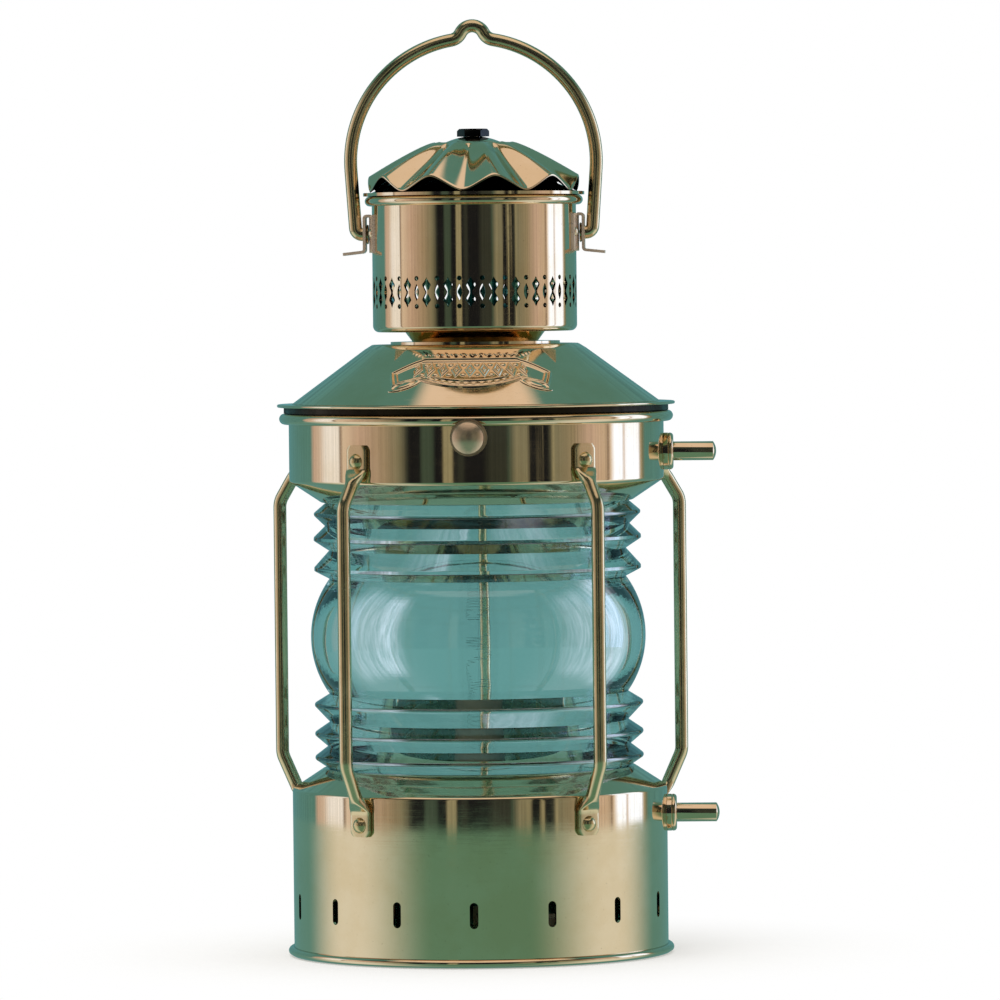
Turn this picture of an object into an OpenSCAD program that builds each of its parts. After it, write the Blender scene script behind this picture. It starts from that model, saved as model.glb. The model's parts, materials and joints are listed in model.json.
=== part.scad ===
// Ship's anchor lantern in polished sheet brass, with a ribbed clear barrel lens, five guard rods,
// a hinged vented roof and a swinging carrying bail.
// Origin: centre of the base's bottom edge. +Z is up, -Y is the front and +X carries the two studs.

/* [Shells] */
// Outer radius of the base and of the upper ring
shell_r = 73.1; // [72.8:0.1:73.4]
// Thickness of the sheet brass
sheet_t = 1.2; // [1:0.1:1.2]
// Height of the straight side of the base
base_h = 64.3; // [63:0.1:65]
// Height of the top of the base's sloping shoulder, before its corner is rounded
base_top = 72.9; // [72.7:0.1:73]
// Radius of the bead at the foot
foot_r = 75.3; // [75:0.1:76]
// Number of air slots round the base
vent_count = 15; // [5:5:20]
// Width of an air slot
vent_w = 3.3; // [2:0.1:4]
// Height of an air slot
vent_h = 10; // [8:0.5:12]
// Height of the middle of the air slots
vent_z = 19.9; // [18:0.1:24]

/* [Upper ring] */
// Height of the lower corner of the ring's straight side
ring_bottom = 184.9; // [184:0.1:186]
// Height of the centre of the rolled bead on the ring's top edge
bead_z = 209; // [208.8:0.1:209.2]
// Radius of the rolled bead's section
bead_rod_r = 2.1; // [1.8:0.1:2.1]

/* [Lens] */
// Outer radius of the lens's plain rims
lens_rim_r = 58.2; // [57.8:0.1:58.2]
// Radius of the straight bore of the lens
lens_bore_r = 52.5; // [52:0.1:53]
// Radius of the lens at the middle of its belt
belt_r = 65.3; // [65:0.1:66]
// Height of the middle of the belt
belt_z = 123.8; // [123.5:0.1:124.2]
// Radius of the belt's curve, seen from the side
belt_curve_r = 38.4; // [38:0.1:39]
// Radius of the ridges' rounded tips
ridge_tip_r = 1.1; // [0.8:0.1:1.2]

/* [Guards] */
// Number of guard rods
guard_count = 5; // [5:1:5]
// Radius of a guard rod
guard_rod_r = 2.55; // [2.3:0.05:2.6]
// Distance from the axis to a guard rod's upright
guard_r = 82.7; // [82:0.1:84]
// Radius of the bends in a guard rod
guard_bend_r = 7; // [5:0.5:8]

/* [Roof] */
// Outer radius of the roof's brim
brim_r = 77.6; // [77.4:0.1:77.6]
// Height of the brim's lower face
brim_z = 213.5; // [213.5:0.1:213.6]
// Thickness of the hemmed brim
brim_t = 1.2; // [1.1:0.1:1.2]

/* [Chimney] */
// Outer radius of the chimney drum
drum_r = 39.8; // [39.7:0.1:39.8]
// Height of the drum's bottom
drum_z0 = 242.4; // [242.4:0.1:242.5]
// Height of the drum's top edge
drum_z1 = 293.4; // [293.3:0.1:293.4]
// Number of vases in the pierced gallery
gallery_count = 28; // [20:1:28]
// Number of flutes in the cap
flute_count = 10; // [8:1:12]
// Radius of the cap's wavy rim
cap_r = 41; // [40:0.5:42]

/* [Bail] */
// Radius of the bail's rod
bail_rod_r = 2.55; // [2.4:0.05:2.6]
// Height of the bail's pivot
bail_pivot_z = 280.6; // [280:0.1:281]
// Radius of the bail's arch, at the middle of the rod
bail_arch_r = 47.9; // [47.5:0.1:49]
// Height of the centre of the bail's arch
bail_arch_z = 308.7; // [306:0.1:312]

/* [Lamp] */
// Outer radius of the bulb's glass tube
bulb_r = 8; // [7:0.5:9]
// Height of the filament, level with the lens's belt
filament_z = 124; // [118:1:130]

/* [Hidden] */
$fn = 96;

brass = [0.83, 0.66, 0.48];
satin_brass = [0.72, 0.58, 0.33];
rod_brass = [0.6, 0.5, 0.32];
black_metal = [0.12, 0.12, 0.12];
clear_glass = [0.5, 0.72, 0.68, 0.45];
rubber = [0.1, 0.1, 0.1];
steel = [0.7, 0.7, 0.72];
cream = [0.9, 0.88, 0.8];

half_t = sheet_t / 2;
wall_r = shell_r - half_t;
inner_r = shell_r - sheet_t;
seat_in_r = 46;
neck_r = lens_rim_r + 0.5 + half_t;
lower_seat_z = 68.7;
upper_seat_z = 179.8;
ring_neck_z = 176.1;
lens_z0 = lower_seat_z + half_t + 0.9;
lens_z1 = upper_seat_z - half_t - 0.9;
fit_gap = 0.05;
bead_r = 74.7;

// Heights and radii of the lens's ridge tips and of the valleys between them, from the bottom up.
ridges = [[76.8, 64.1], [86.1, 64.1], [97.4, 64.1], [150.4, 63.9], [162.1, 64], [171.7, 63.7]];
valleys_low = [[72.8, 59], [81.2, 59], [90.7, 58.2], [101.7, 58.1]];
valleys_high = [[146.6, 57.9], [157.5, 57.9], [167.1, 59.4], [176.2, 59]];

guard_azimuths = [for (i = [0 : guard_count - 1]) 36 + i * 360 / guard_count];
guard_top_z = 176;
guard_low_z = 76.6;
tab_w = 8.6;
tab_h = 12.6;
tab_t = 1.6;
tab_y = shell_r + 0.02;
upper_tab_z = 187;
lower_tab_z = 49.5;
upper_rivet_z = 193.3;
lower_rivet_z = 53.9;
rivet_r = 1.55;
stud_azimuth = 90;
stud_upper_z = 195;
stud_lower_z = 54;
stud_pin_r = 3.7;
stud_tip = 93.5;
stud_shank_r = 2;

latch_z = 202.5;
latch_body_r = 3.8;
latch_tip_r = 2.72;
latch_bore_r = 2.8;
latch_rod_r = 1.5;
latch_cap_y = 82.5;
bolt_nose_y = 69.4;
bolt_shoulder_y = 74;
bolt_end_y = 85;

skirt_r = 70.5;
skirt_z = 200.5;
hinge_y = 81;
hinge_z = 212.3;
knuckle_r = 2.9;
knuckle_w = 9.6;
hinge_w = 26;
hinge_rivet_x = 9.5;
hinge_rivet_z = 194;
hinge_rivet_r = 1.25;
leaf_rivet_x = 8;
leaf_rivet_y = 64.5;
leaf_rivet_z = 220.1;
pin_r = 1.5;

roof_out = [71.4, 215];
roof_in = [43.2, 235.7];
roof_slope = atan((roof_in[1] - roof_out[1]) / (roof_out[0] - roof_in[0]));
roof_top_z = 237.55;
neck_bore_r = 23.2;
lid_z = 296;
lid_out_r = 40;
lid_in_r = 25;
lid_in_z = 302.6;
rod_r = 3;
cap_top_z = 316;
cap_t = 0.9;
cap_disc_r = 14.6;
cap_fall = 15.6;
cap_flute = 2.75;
cap_turn = -4;
cap_nut_z = 318.3;
cap_nut_h = 3;

ear_t = 1.1;
ear_in_r = 39.82;
ear_outer_x = 42.65;
ear_z0 = 273.4;
ear_z1 = 288.3;
ear_rivet_y = 9;
ear_rivet_r = 1;
bail_elbow_x = 46.1;
bail_head_r = 3.9;

// ---------- helpers ----------

function unit(v) = v / norm(v);
function left_of(v) = [-v[1], v[0]];
function turned(v, deg) = [v[0] * cos(deg) - v[1] * sin(deg), v[0] * sin(deg) + v[1] * cos(deg)];

// A path with each corner replaced by an arc of radius r in a few steps.
function rounded(p, r, steps = 4) = [
    p[0],
    for (i = [1 : len(p) - 2])
        let (a = unit(p[i] - p[i - 1]),
            b = unit(p[i + 1] - p[i]),
            turn = atan2(a[0] * b[1] - a[1] * b[0], a * b),
            start = p[i] - a * r * tan(abs(turn) / 2),
            centre = start + sign(turn) * r * left_of(a))
        for (k = [0 : steps]) centre + turned(start - centre, turn * k / steps),
    p[len(p) - 1]];

// Point i of a path, moved to its left by d with a mitred corner.
function mitred(p, i, d) =
    let (last = len(p) - 1,
        before = left_of(unit(p[max(i, 1)] - p[max(i, 1) - 1])),
        after = left_of(unit(p[min(i, last - 1) + 1] - p[min(i, last - 1)])))
    p[i] + d * (before + after) / (1 + before * after);

// Section of bent sheet of thickness t along the middle line p.
module sheet_path(p, t, bend = 1) {
    q = rounded(p, bend);
    n = len(q) - 1;
    polygon(concat([for (i = [0 : n]) mitred(q, i, -t / 2)], [for (i = [n : -1 : 0]) mitred(q, i, t / 2)]));
}

module lathe() rotate_extrude($fn = 180) children();

module ring(r_out, r_in, z0, z1)
    lathe() translate([r_in, z0]) square([r_out - r_in, z1 - z0]);

// A round bar that points outwards (-Y before turning), from distance y0 to y1, at height z.
module outward(azimuth, z, r, y0, y1)
    rotate([0, 0, azimuth]) translate([0, -y0, z]) rotate([90, 0, 0]) cylinder(r = r, h = y1 - y0);

// Puts a shape drawn with x as the distance from the axis and y as height into the upright plane.
module upright(azimuth) rotate([0, 0, azimuth - 90]) rotate([90, 0, 0]) children();

// Rods are drawn in the XY plane as straights and bends. Each straight and the bail's arch run on
// by rod_lap into the next bend, which is a hair thicker, so that the stretches join as one solid.
rod_lap = 0.2;
bend_swell = 0.03;

module rod_between(a, b, r) {
    d = b - a;
    translate([a[0], a[1], 0]) rotate([0, 0, atan2(d[1], d[0])]) rotate([0, 90, 0])
        translate([0, 0, -rod_lap]) cylinder(r = r, h = norm(d) + 2 * rod_lap);
}

module rod_arc(centre, arc_r, from_deg, to_deg, r)
    translate([centre[0], centre[1], 0])
        rotate([0, 0, from_deg]) rotate_extrude(angle = to_deg - from_deg)
            translate([arc_r, 0]) circle(r = r, $fn = 48);

module rod_bend(centre, arc_r, from_deg, to_deg, r)
    rod_arc(centre, arc_r, from_deg, to_deg, r + bend_swell);

// Half-section of a domed head whose flat side lies on y = 0.
module dome_section(base_r, h) {
    ball_r = (base_r * base_r + h * h) / (2 * h);
    intersection() {
        translate([0, h - ball_r]) circle(r = ball_r);
        square([base_r, h]);
    }
}

module dome(base_r, h) rotate_extrude($fn = 64) dome_section(base_r, h);

// Point where a line from p touches the circle round c; side is +1 or -1.
function touch_point(p, c, r, side) =
    let (d = norm(c - p), a = atan2(c[1] - p[1], c[0] - p[0]) + side * asin(r / d))
    p + sqrt(d * d - r * r) * [cos(a), sin(a)];

// ---------- base ----------

module vent_slots()
    for (i = [0 : vent_count - 1]) rotate([0, 0, i * 360 / vent_count]) {
        reach = vent_h / 2 - vent_w / 2;
        for (s = [-1, 1]) outward(0, vent_z + s * reach, vent_w / 2, shell_r - 5, shell_r + 3);
        translate([-vent_w / 2, -shell_r - 3, vent_z - reach]) cube([vent_w, 8, 2 * reach]);
    }

module base_shell() color(brass) difference() {
    lathe() {
        sheet_path([[wall_r, 1.2], [wall_r, base_h], [neck_r, base_top], [neck_r, lower_seat_z],
            [seat_in_r, lower_seat_z]], sheet_t);
        translate([foot_r - 1.55, 1.55]) circle(r = 1.55, $fn = 48);
        translate([inner_r, 0]) square([foot_r - 1.55 - inner_r, 1.55]);
    }
    vent_slots();
    for (a = guard_azimuths) outward(a, lower_rivet_z, rivet_r + fit_gap, shell_r - 5, shell_r + 3);
    outward(stud_azimuth, stud_lower_z, stud_shank_r + fit_gap, shell_r - 5, shell_r + 3);
    outward(180, gland_z, gland_r + fit_gap, shell_r - 5, shell_r + 3);
    for (s = [-1, 1]) translate([s * strap_screw_x, 0, lower_seat_z - 3]) cylinder(r = 1.5, h = 6);
}

plate_r = 71.2;
plate_z = 1.4;
plate_t = 1.2;
lug_azimuths = [60, 180, 300];
lug_screw_r = 64;

module base_plate() color(brass) difference() {
    translate([0, 0, plate_z]) cylinder(r = plate_r, h = plate_t, $fn = 180);
    for (a = lug_azimuths) rotate([0, 0, a]) translate([0, -lug_screw_r, 0]) cylinder(r = 1.7, h = 5);
    for (s = [-1, 1]) translate([terminal_x, s * 9, 0]) cylinder(r = 1.3, h = 5);
}

module plate_lug() difference() {
    union() {
        translate([-6, -inner_r + 0.3, plate_z + plate_t + 0.05]) cube([12, 13, 1.2]);
        translate([-6, -inner_r + 0.3, plate_z + plate_t + 0.05]) cube([12, 1.2, 9.5]);
    }
    translate([0, -lug_screw_r, 0]) cylinder(r = 1.55, h = 8);
}

module plate_lugs() color(brass) for (a = lug_azimuths) rotate([0, 0, a]) plate_lug();

module base_screws() color(steel)
    for (a = lug_azimuths) rotate([0, 0, a]) translate([0, -lug_screw_r, plate_z]) difference() {
        union() {
            rotate([180, 0, 0]) dome(2.8, 1.2);
            cylinder(r = 1.5, h = 6.5);
        }
        translate([-3, -0.35, -1.3]) cube([6, 0.7, 0.6]);
    }

// ---------- lens ----------

// One ridge's section, from its lower valley round the tip to its upper valley.
module ridge_section(low, tip, high) {
    c = [tip[1] - ridge_tip_r, tip[0]];
    p = [low[1], low[0]];
    q = [high[1], high[0]];
    polygon([[lens_bore_r, p[1]], p, touch_point(p, c, ridge_tip_r, -1), c,
        touch_point(q, c, ridge_tip_r, 1), q, [lens_bore_r, q[1]]]);
    translate(c) circle(r = ridge_tip_r, $fn = 48);
}

module belt_section() intersection() {
    translate([belt_r - belt_curve_r, belt_z]) circle(r = belt_curve_r, $fn = 180);
    translate([lens_bore_r, valleys_low[3][0]])
        square([20, valleys_high[0][0] - valleys_low[3][0]]);
}

module lens() color(clear_glass) lathe() {
    for (i = [0 : 2]) ridge_section(valleys_low[i], ridges[i], valleys_low[i + 1]);
    belt_section();
    for (i = [0 : 2]) ridge_section(valleys_high[i], ridges[i + 3], valleys_high[i + 1]);
    translate([lens_bore_r, lens_z0]) square([lens_rim_r - lens_bore_r, valleys_low[0][0] - lens_z0]);
    translate([lens_bore_r, valleys_high[3][0]])
        square([lens_rim_r - lens_bore_r, lens_z1 - valleys_high[3][0]]);
}

module lens_gasket_lower() color(rubber)
    ring(lens_rim_r, lens_bore_r - 0.4, lower_seat_z + half_t, lens_z0);

module lens_gasket_upper() color(rubber)
    ring(lens_rim_r, lens_bore_r - 0.4, lens_z1, upper_seat_z - half_t);

// ---------- upper ring ----------

module hinge_rivet_holes(r)
    for (s = [-1, 1]) translate([s * hinge_rivet_x, 90, hinge_rivet_z]) rotate([90, 0, 0])
        cylinder(r = r, h = 25);

module upper_ring() color(brass) difference() {
    lathe() {
        sheet_path([[wall_r, bead_z + 0.5], [wall_r, ring_bottom], [neck_r, ring_neck_z],
            [neck_r, upper_seat_z], [seat_in_r, upper_seat_z]], sheet_t);
        translate([bead_r, bead_z]) circle(r = bead_rod_r, $fn = 48);
    }
    for (a = guard_azimuths) outward(a, upper_rivet_z, rivet_r + fit_gap, shell_r - 5, shell_r + 3);
    outward(stud_azimuth, stud_upper_z, stud_shank_r + fit_gap, shell_r - 5, shell_r + 3);
    outward(0, latch_z, latch_body_r + fit_gap, shell_r - 5, shell_r + 1);
    hinge_rivet_holes(hinge_rivet_r + fit_gap);
}

// ---------- guards ----------

module guard_tab(z0) {
    cut = 2;
    w = tab_w / 2;
    translate([0, -tab_y, z0]) rotate([90, 0, 0]) linear_extrude(tab_t)
        polygon([[-w + cut, 0], [w - cut, 0], [w, cut], [w, tab_h - cut], [w - cut, tab_h],
            [-w + cut, tab_h], [-w, tab_h - cut], [-w, cut]]);
}

module guard(azimuth) color(rod_brass) {
    near_r = shell_r + guard_rod_r + 0.15;
    slope = atan((guard_r - near_r) / (upper_tab_z + 0.6 - guard_top_z));
    back = guard_bend_r * tan(slope / 2);
    top = [guard_r, guard_top_z - back];
    low = [guard_r, guard_low_z + back];
    upper_end = [near_r, upper_tab_z + 0.6];
    lower_end = [near_r, lower_tab_z + tab_h - 0.6];
    turn = [sin(slope), cos(slope)] * back;
    upright(azimuth) {
        rod_between(low, top, guard_rod_r);
        rod_bend(top - [guard_bend_r, 0], guard_bend_r, 0, slope, guard_rod_r);
        rod_bend(low - [guard_bend_r, 0], guard_bend_r, -slope, 0, guard_rod_r);
        rod_between([guard_r, guard_top_z] + [-turn[0], turn[1]], upper_end, guard_rod_r);
        rod_between([guard_r, guard_low_z] - turn, lower_end, guard_rod_r);
    }
    rotate([0, 0, azimuth]) difference() {
        union() {
            guard_tab(upper_tab_z);
            guard_tab(lower_tab_z);
        }
        outward(0, upper_rivet_z, rivet_r + fit_gap, shell_r - 3, shell_r + 6);
        outward(0, lower_rivet_z, rivet_r + fit_gap, shell_r - 3, shell_r + 6);
    }
}

module rivet(azimuth, z, face) rotate([0, 0, azimuth]) translate([0, -face, z]) rotate([90, 0, 0]) {
    dome(2.65, 1.6);
    translate([0, 0, inner_r - 1.1 - face]) cylinder(r = rivet_r, h = face - inner_r + 1.1);
    translate([0, 0, inner_r - 1.1 - face]) cylinder(r = 2.4, h = 1);
}

module guard_rivets_upper() color(satin_brass)
    for (a = guard_azimuths) rivet(a, upper_rivet_z, tab_y + tab_t);

module guard_rivets_lower() color(satin_brass)
    for (a = guard_azimuths) rivet(a, lower_rivet_z, tab_y + tab_t);

// ---------- side studs ----------

module stud(z) color(brass) difference() {
    rotate([0, 0, stud_azimuth]) translate([0, -shell_r + 0.6, z]) rotate([90, 0, 0]) {
        rotate_extrude($fn = 96) {
            square([7.2, 2.3]);
            translate([0, 1.5]) square([5.9, 2.8]);
            translate([5.9, 3]) circle(r = 1.3, $fn = 48);
            square([stud_pin_r, stud_tip - shell_r - 0.6]);
            translate([0, stud_tip - shell_r - 0.6]) dome_section(stud_pin_r, 1.2);
        }
        translate([0, 0, -6]) cylinder(r = stud_shank_r, h = 7);
    }
    difference() {
        translate([0, 0, z - 10]) cylinder(r = shell_r + 0.02, h = 20, $fn = 180);
        outward(stud_azimuth, z, stud_shank_r, shell_r - 10, shell_r + 1);
    }
}

module stud_upper() stud(stud_upper_z);
module stud_lower() stud(stud_lower_z);

module stud_nuts() color(brass)
    for (z = [stud_upper_z, stud_lower_z])
        rotate([0, 0, stud_azimuth]) translate([0, -inner_r + 0.2, z]) rotate([-90, 0, 0])
            difference() {
                cylinder(r = 4.04, h = 2.8, $fn = 6);
                translate([0, 0, -1]) cylinder(r = stud_shank_r + fit_gap, h = 5);
            }

// ---------- latch ----------

// Turned parts of the latch: x is the radius and y the distance from the lantern's axis.
module latch_turned() translate([0, 0, latch_z]) rotate([90, 0, 0]) rotate_extrude($fn = 96) children();

module latch_body() color(satin_brass) latch_turned() {
    translate([latch_bore_r, inner_r]) square([latch_body_r - latch_bore_r, latch_cap_y - inner_r]);
    translate([latch_rod_r + fit_gap, latch_cap_y - 1.2])
        square([latch_body_r - latch_rod_r - fit_gap, 1.2]);
}

module latch_bolt() color(steel) latch_turned() {
    translate([0, bolt_nose_y]) square([latch_tip_r, bolt_shoulder_y - bolt_nose_y]);
    translate([0, bolt_nose_y + 0.1]) mirror([0, 1]) dome_section(latch_tip_r - 0.1, 0.9);
    translate([0, bolt_shoulder_y]) square([latch_rod_r, bolt_end_y - bolt_shoulder_y]);
}

spring_wire_r = 0.25;
spring_coil_r = 2.3;
spring_y0 = 74.3;
spring_y1 = 81;
spring_turns = 5;

// The coil is drawn as one ring per turn, joined by a straight back wire.
module latch_spring() color(steel) translate([0, 0, latch_z]) rotate([90, 0, 0]) {
    pitch = (spring_y1 - spring_y0) / spring_turns;
    for (i = [0 : spring_turns]) translate([0, 0, spring_y0 + i * pitch])
        rotate_extrude($fn = 48) translate([spring_coil_r, 0]) circle(r = spring_wire_r, $fn = 16);
    translate([spring_coil_r, 0, spring_y0])
        cylinder(r = spring_wire_r - 0.05, h = spring_y1 - spring_y0, $fn = 16);
}

knob_y0 = 77.3;
knob_face_y = 86.2;
knob_rim_r = 7.1;
knob_waist_r = 5.2;
knob_head_r = 6.3;

module latch_knob() color(brass) latch_turned() difference() {
    union() {
        translate([0, knob_y0]) square([knob_rim_r, 1]);
        translate([0, knob_y0]) square([knob_waist_r, knob_face_y - knob_y0]);
        translate([0, knob_face_y - 4]) square([knob_head_r, 4]);
        translate([0, knob_face_y - 0.1]) dome_section(knob_head_r - 0.2, 2.4);
    }
    translate([0, knob_y0 - 1]) square([latch_body_r + 0.1, latch_cap_y + 0.7 - knob_y0 + 1]);
    translate([0, latch_cap_y]) square([latch_rod_r + 0.01, bolt_end_y + 0.02 - latch_cap_y]);
}

// ---------- roof hinge ----------

// A section drawn with x as the distance behind the axis and y as height, spread along X.
module across(w) rotate([90, 0, 90]) translate([0, 0, -w / 2]) linear_extrude(w) children();

module hinge_bore(r, w) translate([-w / 2, hinge_y, hinge_z]) rotate([0, 90, 0])
    cylinder(r = r, h = w);

module hinge_base() color(satin_brass) difference() {
    union() {
        across(hinge_w) polygon([[70, 188.5], [75.3, 188.5], [75.3, 201], [83.4, 209.2],
            [83.4, hinge_z], [77.5, hinge_z], [77.5, 206.3], [70, 206.3]]);
        hinge_bore(knuckle_r, hinge_w);
    }
    translate([0, 0, 180]) cylinder(r = shell_r + 0.02, h = 27, $fn = 180);
    translate([-5.2, 70, 180]) cube([10.4, 10, 21.2]);
    hinge_bore(knuckle_r + 0.4, knuckle_w + 0.4);
    translate([-(knuckle_w + 0.4) / 2, 70, hinge_z]) cube([knuckle_w + 0.4, 20, 10]);
    hinge_bore(pin_r + 0.02, hinge_w + 2);
    hinge_rivet_holes(hinge_rivet_r + fit_gap);
}

module hinge_base_rivets() color(satin_brass)
    for (s = [-1, 1]) translate([s * hinge_rivet_x, 75.32, hinge_rivet_z]) rotate([-90, 0, 0]) {
        dome(2.3, 1.3);
        translate([0, 0, -5.4]) cylinder(r = hinge_rivet_r, h = 5.5);
        translate([0, 0, -5.4]) cylinder(r = 2, h = 0.9);
    }

// The roof's outer form, used to shape what lies on it.
module roof_form(lift) lathe() polygon([[0, 195], [brim_r + 0.1, 195],
    [brim_r + 0.1, brim_z + brim_t + lift], [roof_out[0] + 0.4, brim_z + brim_t + lift],
    [roof_out[0] + 0.4, roof_out[1] + lift], [roof_in[0], roof_in[1] + lift],
    [0, roof_in[1] + lift]]);

// Bars square to the roof's slope at the two leaf rivets.
module leaf_rivet_bars(r, z0, z1)
    for (s = [-1, 1]) translate([s * leaf_rivet_x, leaf_rivet_y, leaf_rivet_z])
        rotate([-roof_slope, 0, 0]) translate([0, 0, z0]) cylinder(r = r, h = z1 - z0);

module hinge_leaf() color(satin_brass) difference() {
    union() {
        across(22) polygon([[58.5, 219], [58.5, 226.6], [72.5, 217], [75, 216.6], [75, 213]]);
        across(knuckle_w) polygon([[74, 213], [74, 216.7], [80, 215.1], [hinge_y + knuckle_r, hinge_z],
            [78, hinge_z]]);
        hinge_bore(knuckle_r, knuckle_w);
    }
    roof_form(0.05);
    hinge_bore(pin_r + fit_gap, hinge_w);
    leaf_rivet_bars(hinge_rivet_r + fit_gap, -8, 8);
}

module hinge_leaf_rivets() color(satin_brass)
    for (s = [-1, 1]) translate([s * leaf_rivet_x, leaf_rivet_y, leaf_rivet_z])
    rotate([-roof_slope, 0, 0]) {
        translate([0, 0, 2.6]) dome(2.3, 1.3);
        translate([0, 0, -2.2]) cylinder(r = hinge_rivet_r, h = 4.9);
        translate([0, 0, -2.7]) cylinder(r = 1.9, h = 0.9);
    }

module hinge_pin() color(steel) {
    hinge_bore(pin_r, hinge_w + 1);
    for (s = [-1, 1]) translate([s * (hinge_w / 2 + 0.1), hinge_y, hinge_z]) rotate([0, s * 90, 0])
        dome(2.2, 1.1);
}

// ---------- roof ----------

module roof_cone() color(brass) difference() {
    n = [sin(roof_slope), cos(roof_slope)] * half_t;
    lathe() {
        translate([70.4, brim_z]) square([brim_r - brim_t / 2 - 70.4, brim_t]);
        translate([brim_r - brim_t / 2, brim_z + brim_t / 2]) circle(d = brim_t, $fn = 32);
        sheet_path([roof_out - n + [0.3, -0.2], roof_in - n, [40, roof_top_z - half_t],
            [neck_bore_r, roof_top_z - half_t]], sheet_t);
    }
    leaf_rivet_bars(hinge_rivet_r + fit_gap, -8, 4);
}

module keeper_slot() {
    w = 2 * latch_tip_r + 0.8;
    translate([-w / 2, -skirt_r - 3, skirt_z - 1]) cube([w, 8, latch_z - skirt_z + 1]);
    outward(0, latch_z, w / 2, skirt_r - 5, skirt_r + 3);
}

module roof_skirt() color(brass) difference() {
    lathe() {
        translate([skirt_r - sheet_t, skirt_z]) square([sheet_t, brim_z - skirt_z - 0.02]);
        translate([skirt_r - sheet_t, 211.3]) square([5.7, brim_z - 211.32]);
    }
    keeper_slot();
}

scroll_half_w = 32.5;

// A blank ribbon with swallow-tail ends and a raised middle, laid on the roof's front slope.
module scroll_outline() {
    translate([-24, -7]) square([48, 15.5]);
    tail = [[22, -9], [scroll_half_w, -10], [29, -3.5], [scroll_half_w, 4], [22, 5]];
    polygon(tail);
    polygon([for (i = [len(tail) - 1 : -1 : 0]) [-tail[i][0], tail[i][1]]]);
    for (i = [-5 : 5]) translate([i * 4.4, 9.2]) circle(r = 1.7, $fn = 32);
}

module scroll_plate() color(brass) difference() {
    intersection() {
        roof_form(0.95);
        translate([0, -57.3, 225.5]) rotate([roof_slope, 0, 0]) translate([0, 0, -12])
            linear_extrude(24) scroll_outline();
    }
    roof_form(0.05);
}

// ---------- chimney ----------

module chimney_neck() color(brass) lathe() {
    translate([neck_bore_r, roof_top_z + 0.03]) square([33 - neck_bore_r, 1]);
    polygon([[neck_bore_r, 238.4], [24.3, 238.4], [27.3, drum_z0 - 0.02], [26.1, drum_z0 - 0.02]]);
}

// Outline of a pierced vase: two diamonds joined at a narrow waist.
module vase_outline(h) {
    bulge = 2;
    waist = 0.6;
    polygon([[0, 0], [bulge, h * 0.27], [waist, h / 2], [bulge, h * 0.73], [0, h],
        [-bulge, h * 0.73], [-waist, h / 2], [-bulge, h * 0.27]]);
}

module almond_outline(h) polygon([[0, -h / 2], [1.1, -h / 6], [1.1, h / 6], [0, h / 2],
    [-1.1, h / 6], [-1.1, -h / 6]]);

module pierce(azimuth, z) rotate([0, 0, azimuth]) translate([0, -drum_r + 3, z])
    rotate([90, 0, 0]) linear_extrude(5) children();

module gallery_holes() {
    gallery_z = 252;
    vase_h = 11.7;
    step = 360 / gallery_count;
    mid = gallery_z + vase_h / 2;
    for (i = [0 : gallery_count - 1]) {
        pierce(i * step, gallery_z) vase_outline(vase_h);
        pierce((i + 0.5) * step, mid) almond_outline(7);
        for (s = [-1, 1]) outward((i + 0.5) * step, mid + s * 5.6, 0.9, drum_r - 3, drum_r + 2);
    }
}

module ear_rivet_holes(r)
    for (s = [-1, 1], t = [-1, 1]) outward(s * 90 + t * asin(ear_rivet_y / drum_r), ear_mid_z, r,
        drum_r - 4, drum_r + 5);

module chimney_drum() color(brass) difference() {
    corner_r = 2.5;
    lathe() {
        translate([26.1, drum_z0]) square([drum_r - corner_r - 26.1, 1]);
        translate([drum_r - 1, drum_z0 + corner_r]) square([1, drum_z1 - drum_z0 - corner_r]);
        translate([drum_r - corner_r, drum_z0 + corner_r]) intersection() {
            difference() {
                circle(r = corner_r, $fn = 48);
                circle(r = corner_r - 1, $fn = 48);
            }
            translate([0, -corner_r]) square([corner_r, corner_r]);
        }
        translate([40.6, drum_z1]) circle(r = 1.9, $fn = 48);
    }
    gallery_holes();
    ear_rivet_holes(ear_rivet_r + fit_gap);
}

module drum_lid() color(brass) lathe()
    sheet_path([[43.1, lid_z], [lid_out_r, lid_z], [lid_in_r, lid_in_z]], sheet_t);

bridge_z = lid_in_z + half_t + 0.05;
bridge_t = 1.6;

module cap_bridge() color(satin_brass) difference() {
    translate([-27, -5, bridge_z]) cube([54, 10, bridge_t]);
    translate([0, 0, bridge_z - 1]) cylinder(r = rod_r + fit_gap, h = 4);
}

module cap_rod() color(steel) {
    translate([0, 0, 299.6]) cylinder(r = rod_r, h = cap_nut_z + cap_nut_h - 0.5 - 299.6);
}

module cap_spacer() color(satin_brass)
    ring(4.6, rod_r + fit_gap, bridge_z + bridge_t + 0.02, cap_top_z - cap_t - 0.05);

module cap_lower_nut() color(steel) difference() {
    translate([0, 0, 300.2]) cylinder(r = 5.6, h = bridge_z - 300.25, $fn = 6);
    translate([0, 0, 299]) cylinder(r = rod_r + fit_gap, h = 6);
}

// Height of the cap's top face at radius r and azimuth a: a shallow cone whose flutes deepen
// towards the rim, with a low just left of the front.
function cap_rise(r) = cap_top_z - cap_fall * pow(max(0, (r - cap_disc_r) / (cap_r - cap_disc_r)), 1.12);
function cap_wave(r, a) =
    let (depth = cap_flute * pow(max(0, (r - cap_disc_r) / (cap_r - cap_disc_r)), 0.9))
    -depth * cos(flute_count * (a - cap_turn));
cap_rings = [rod_r + 0.3, 9, cap_disc_r, 18, 22, 27, 32, 37, cap_r];
cap_steps = 100;

function cap_point(r, i, drop) =
    let (a = i * 360 / cap_steps)
    [r * sin(a), -r * cos(a), cap_rise(r) + cap_wave(r, a) - drop];

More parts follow.
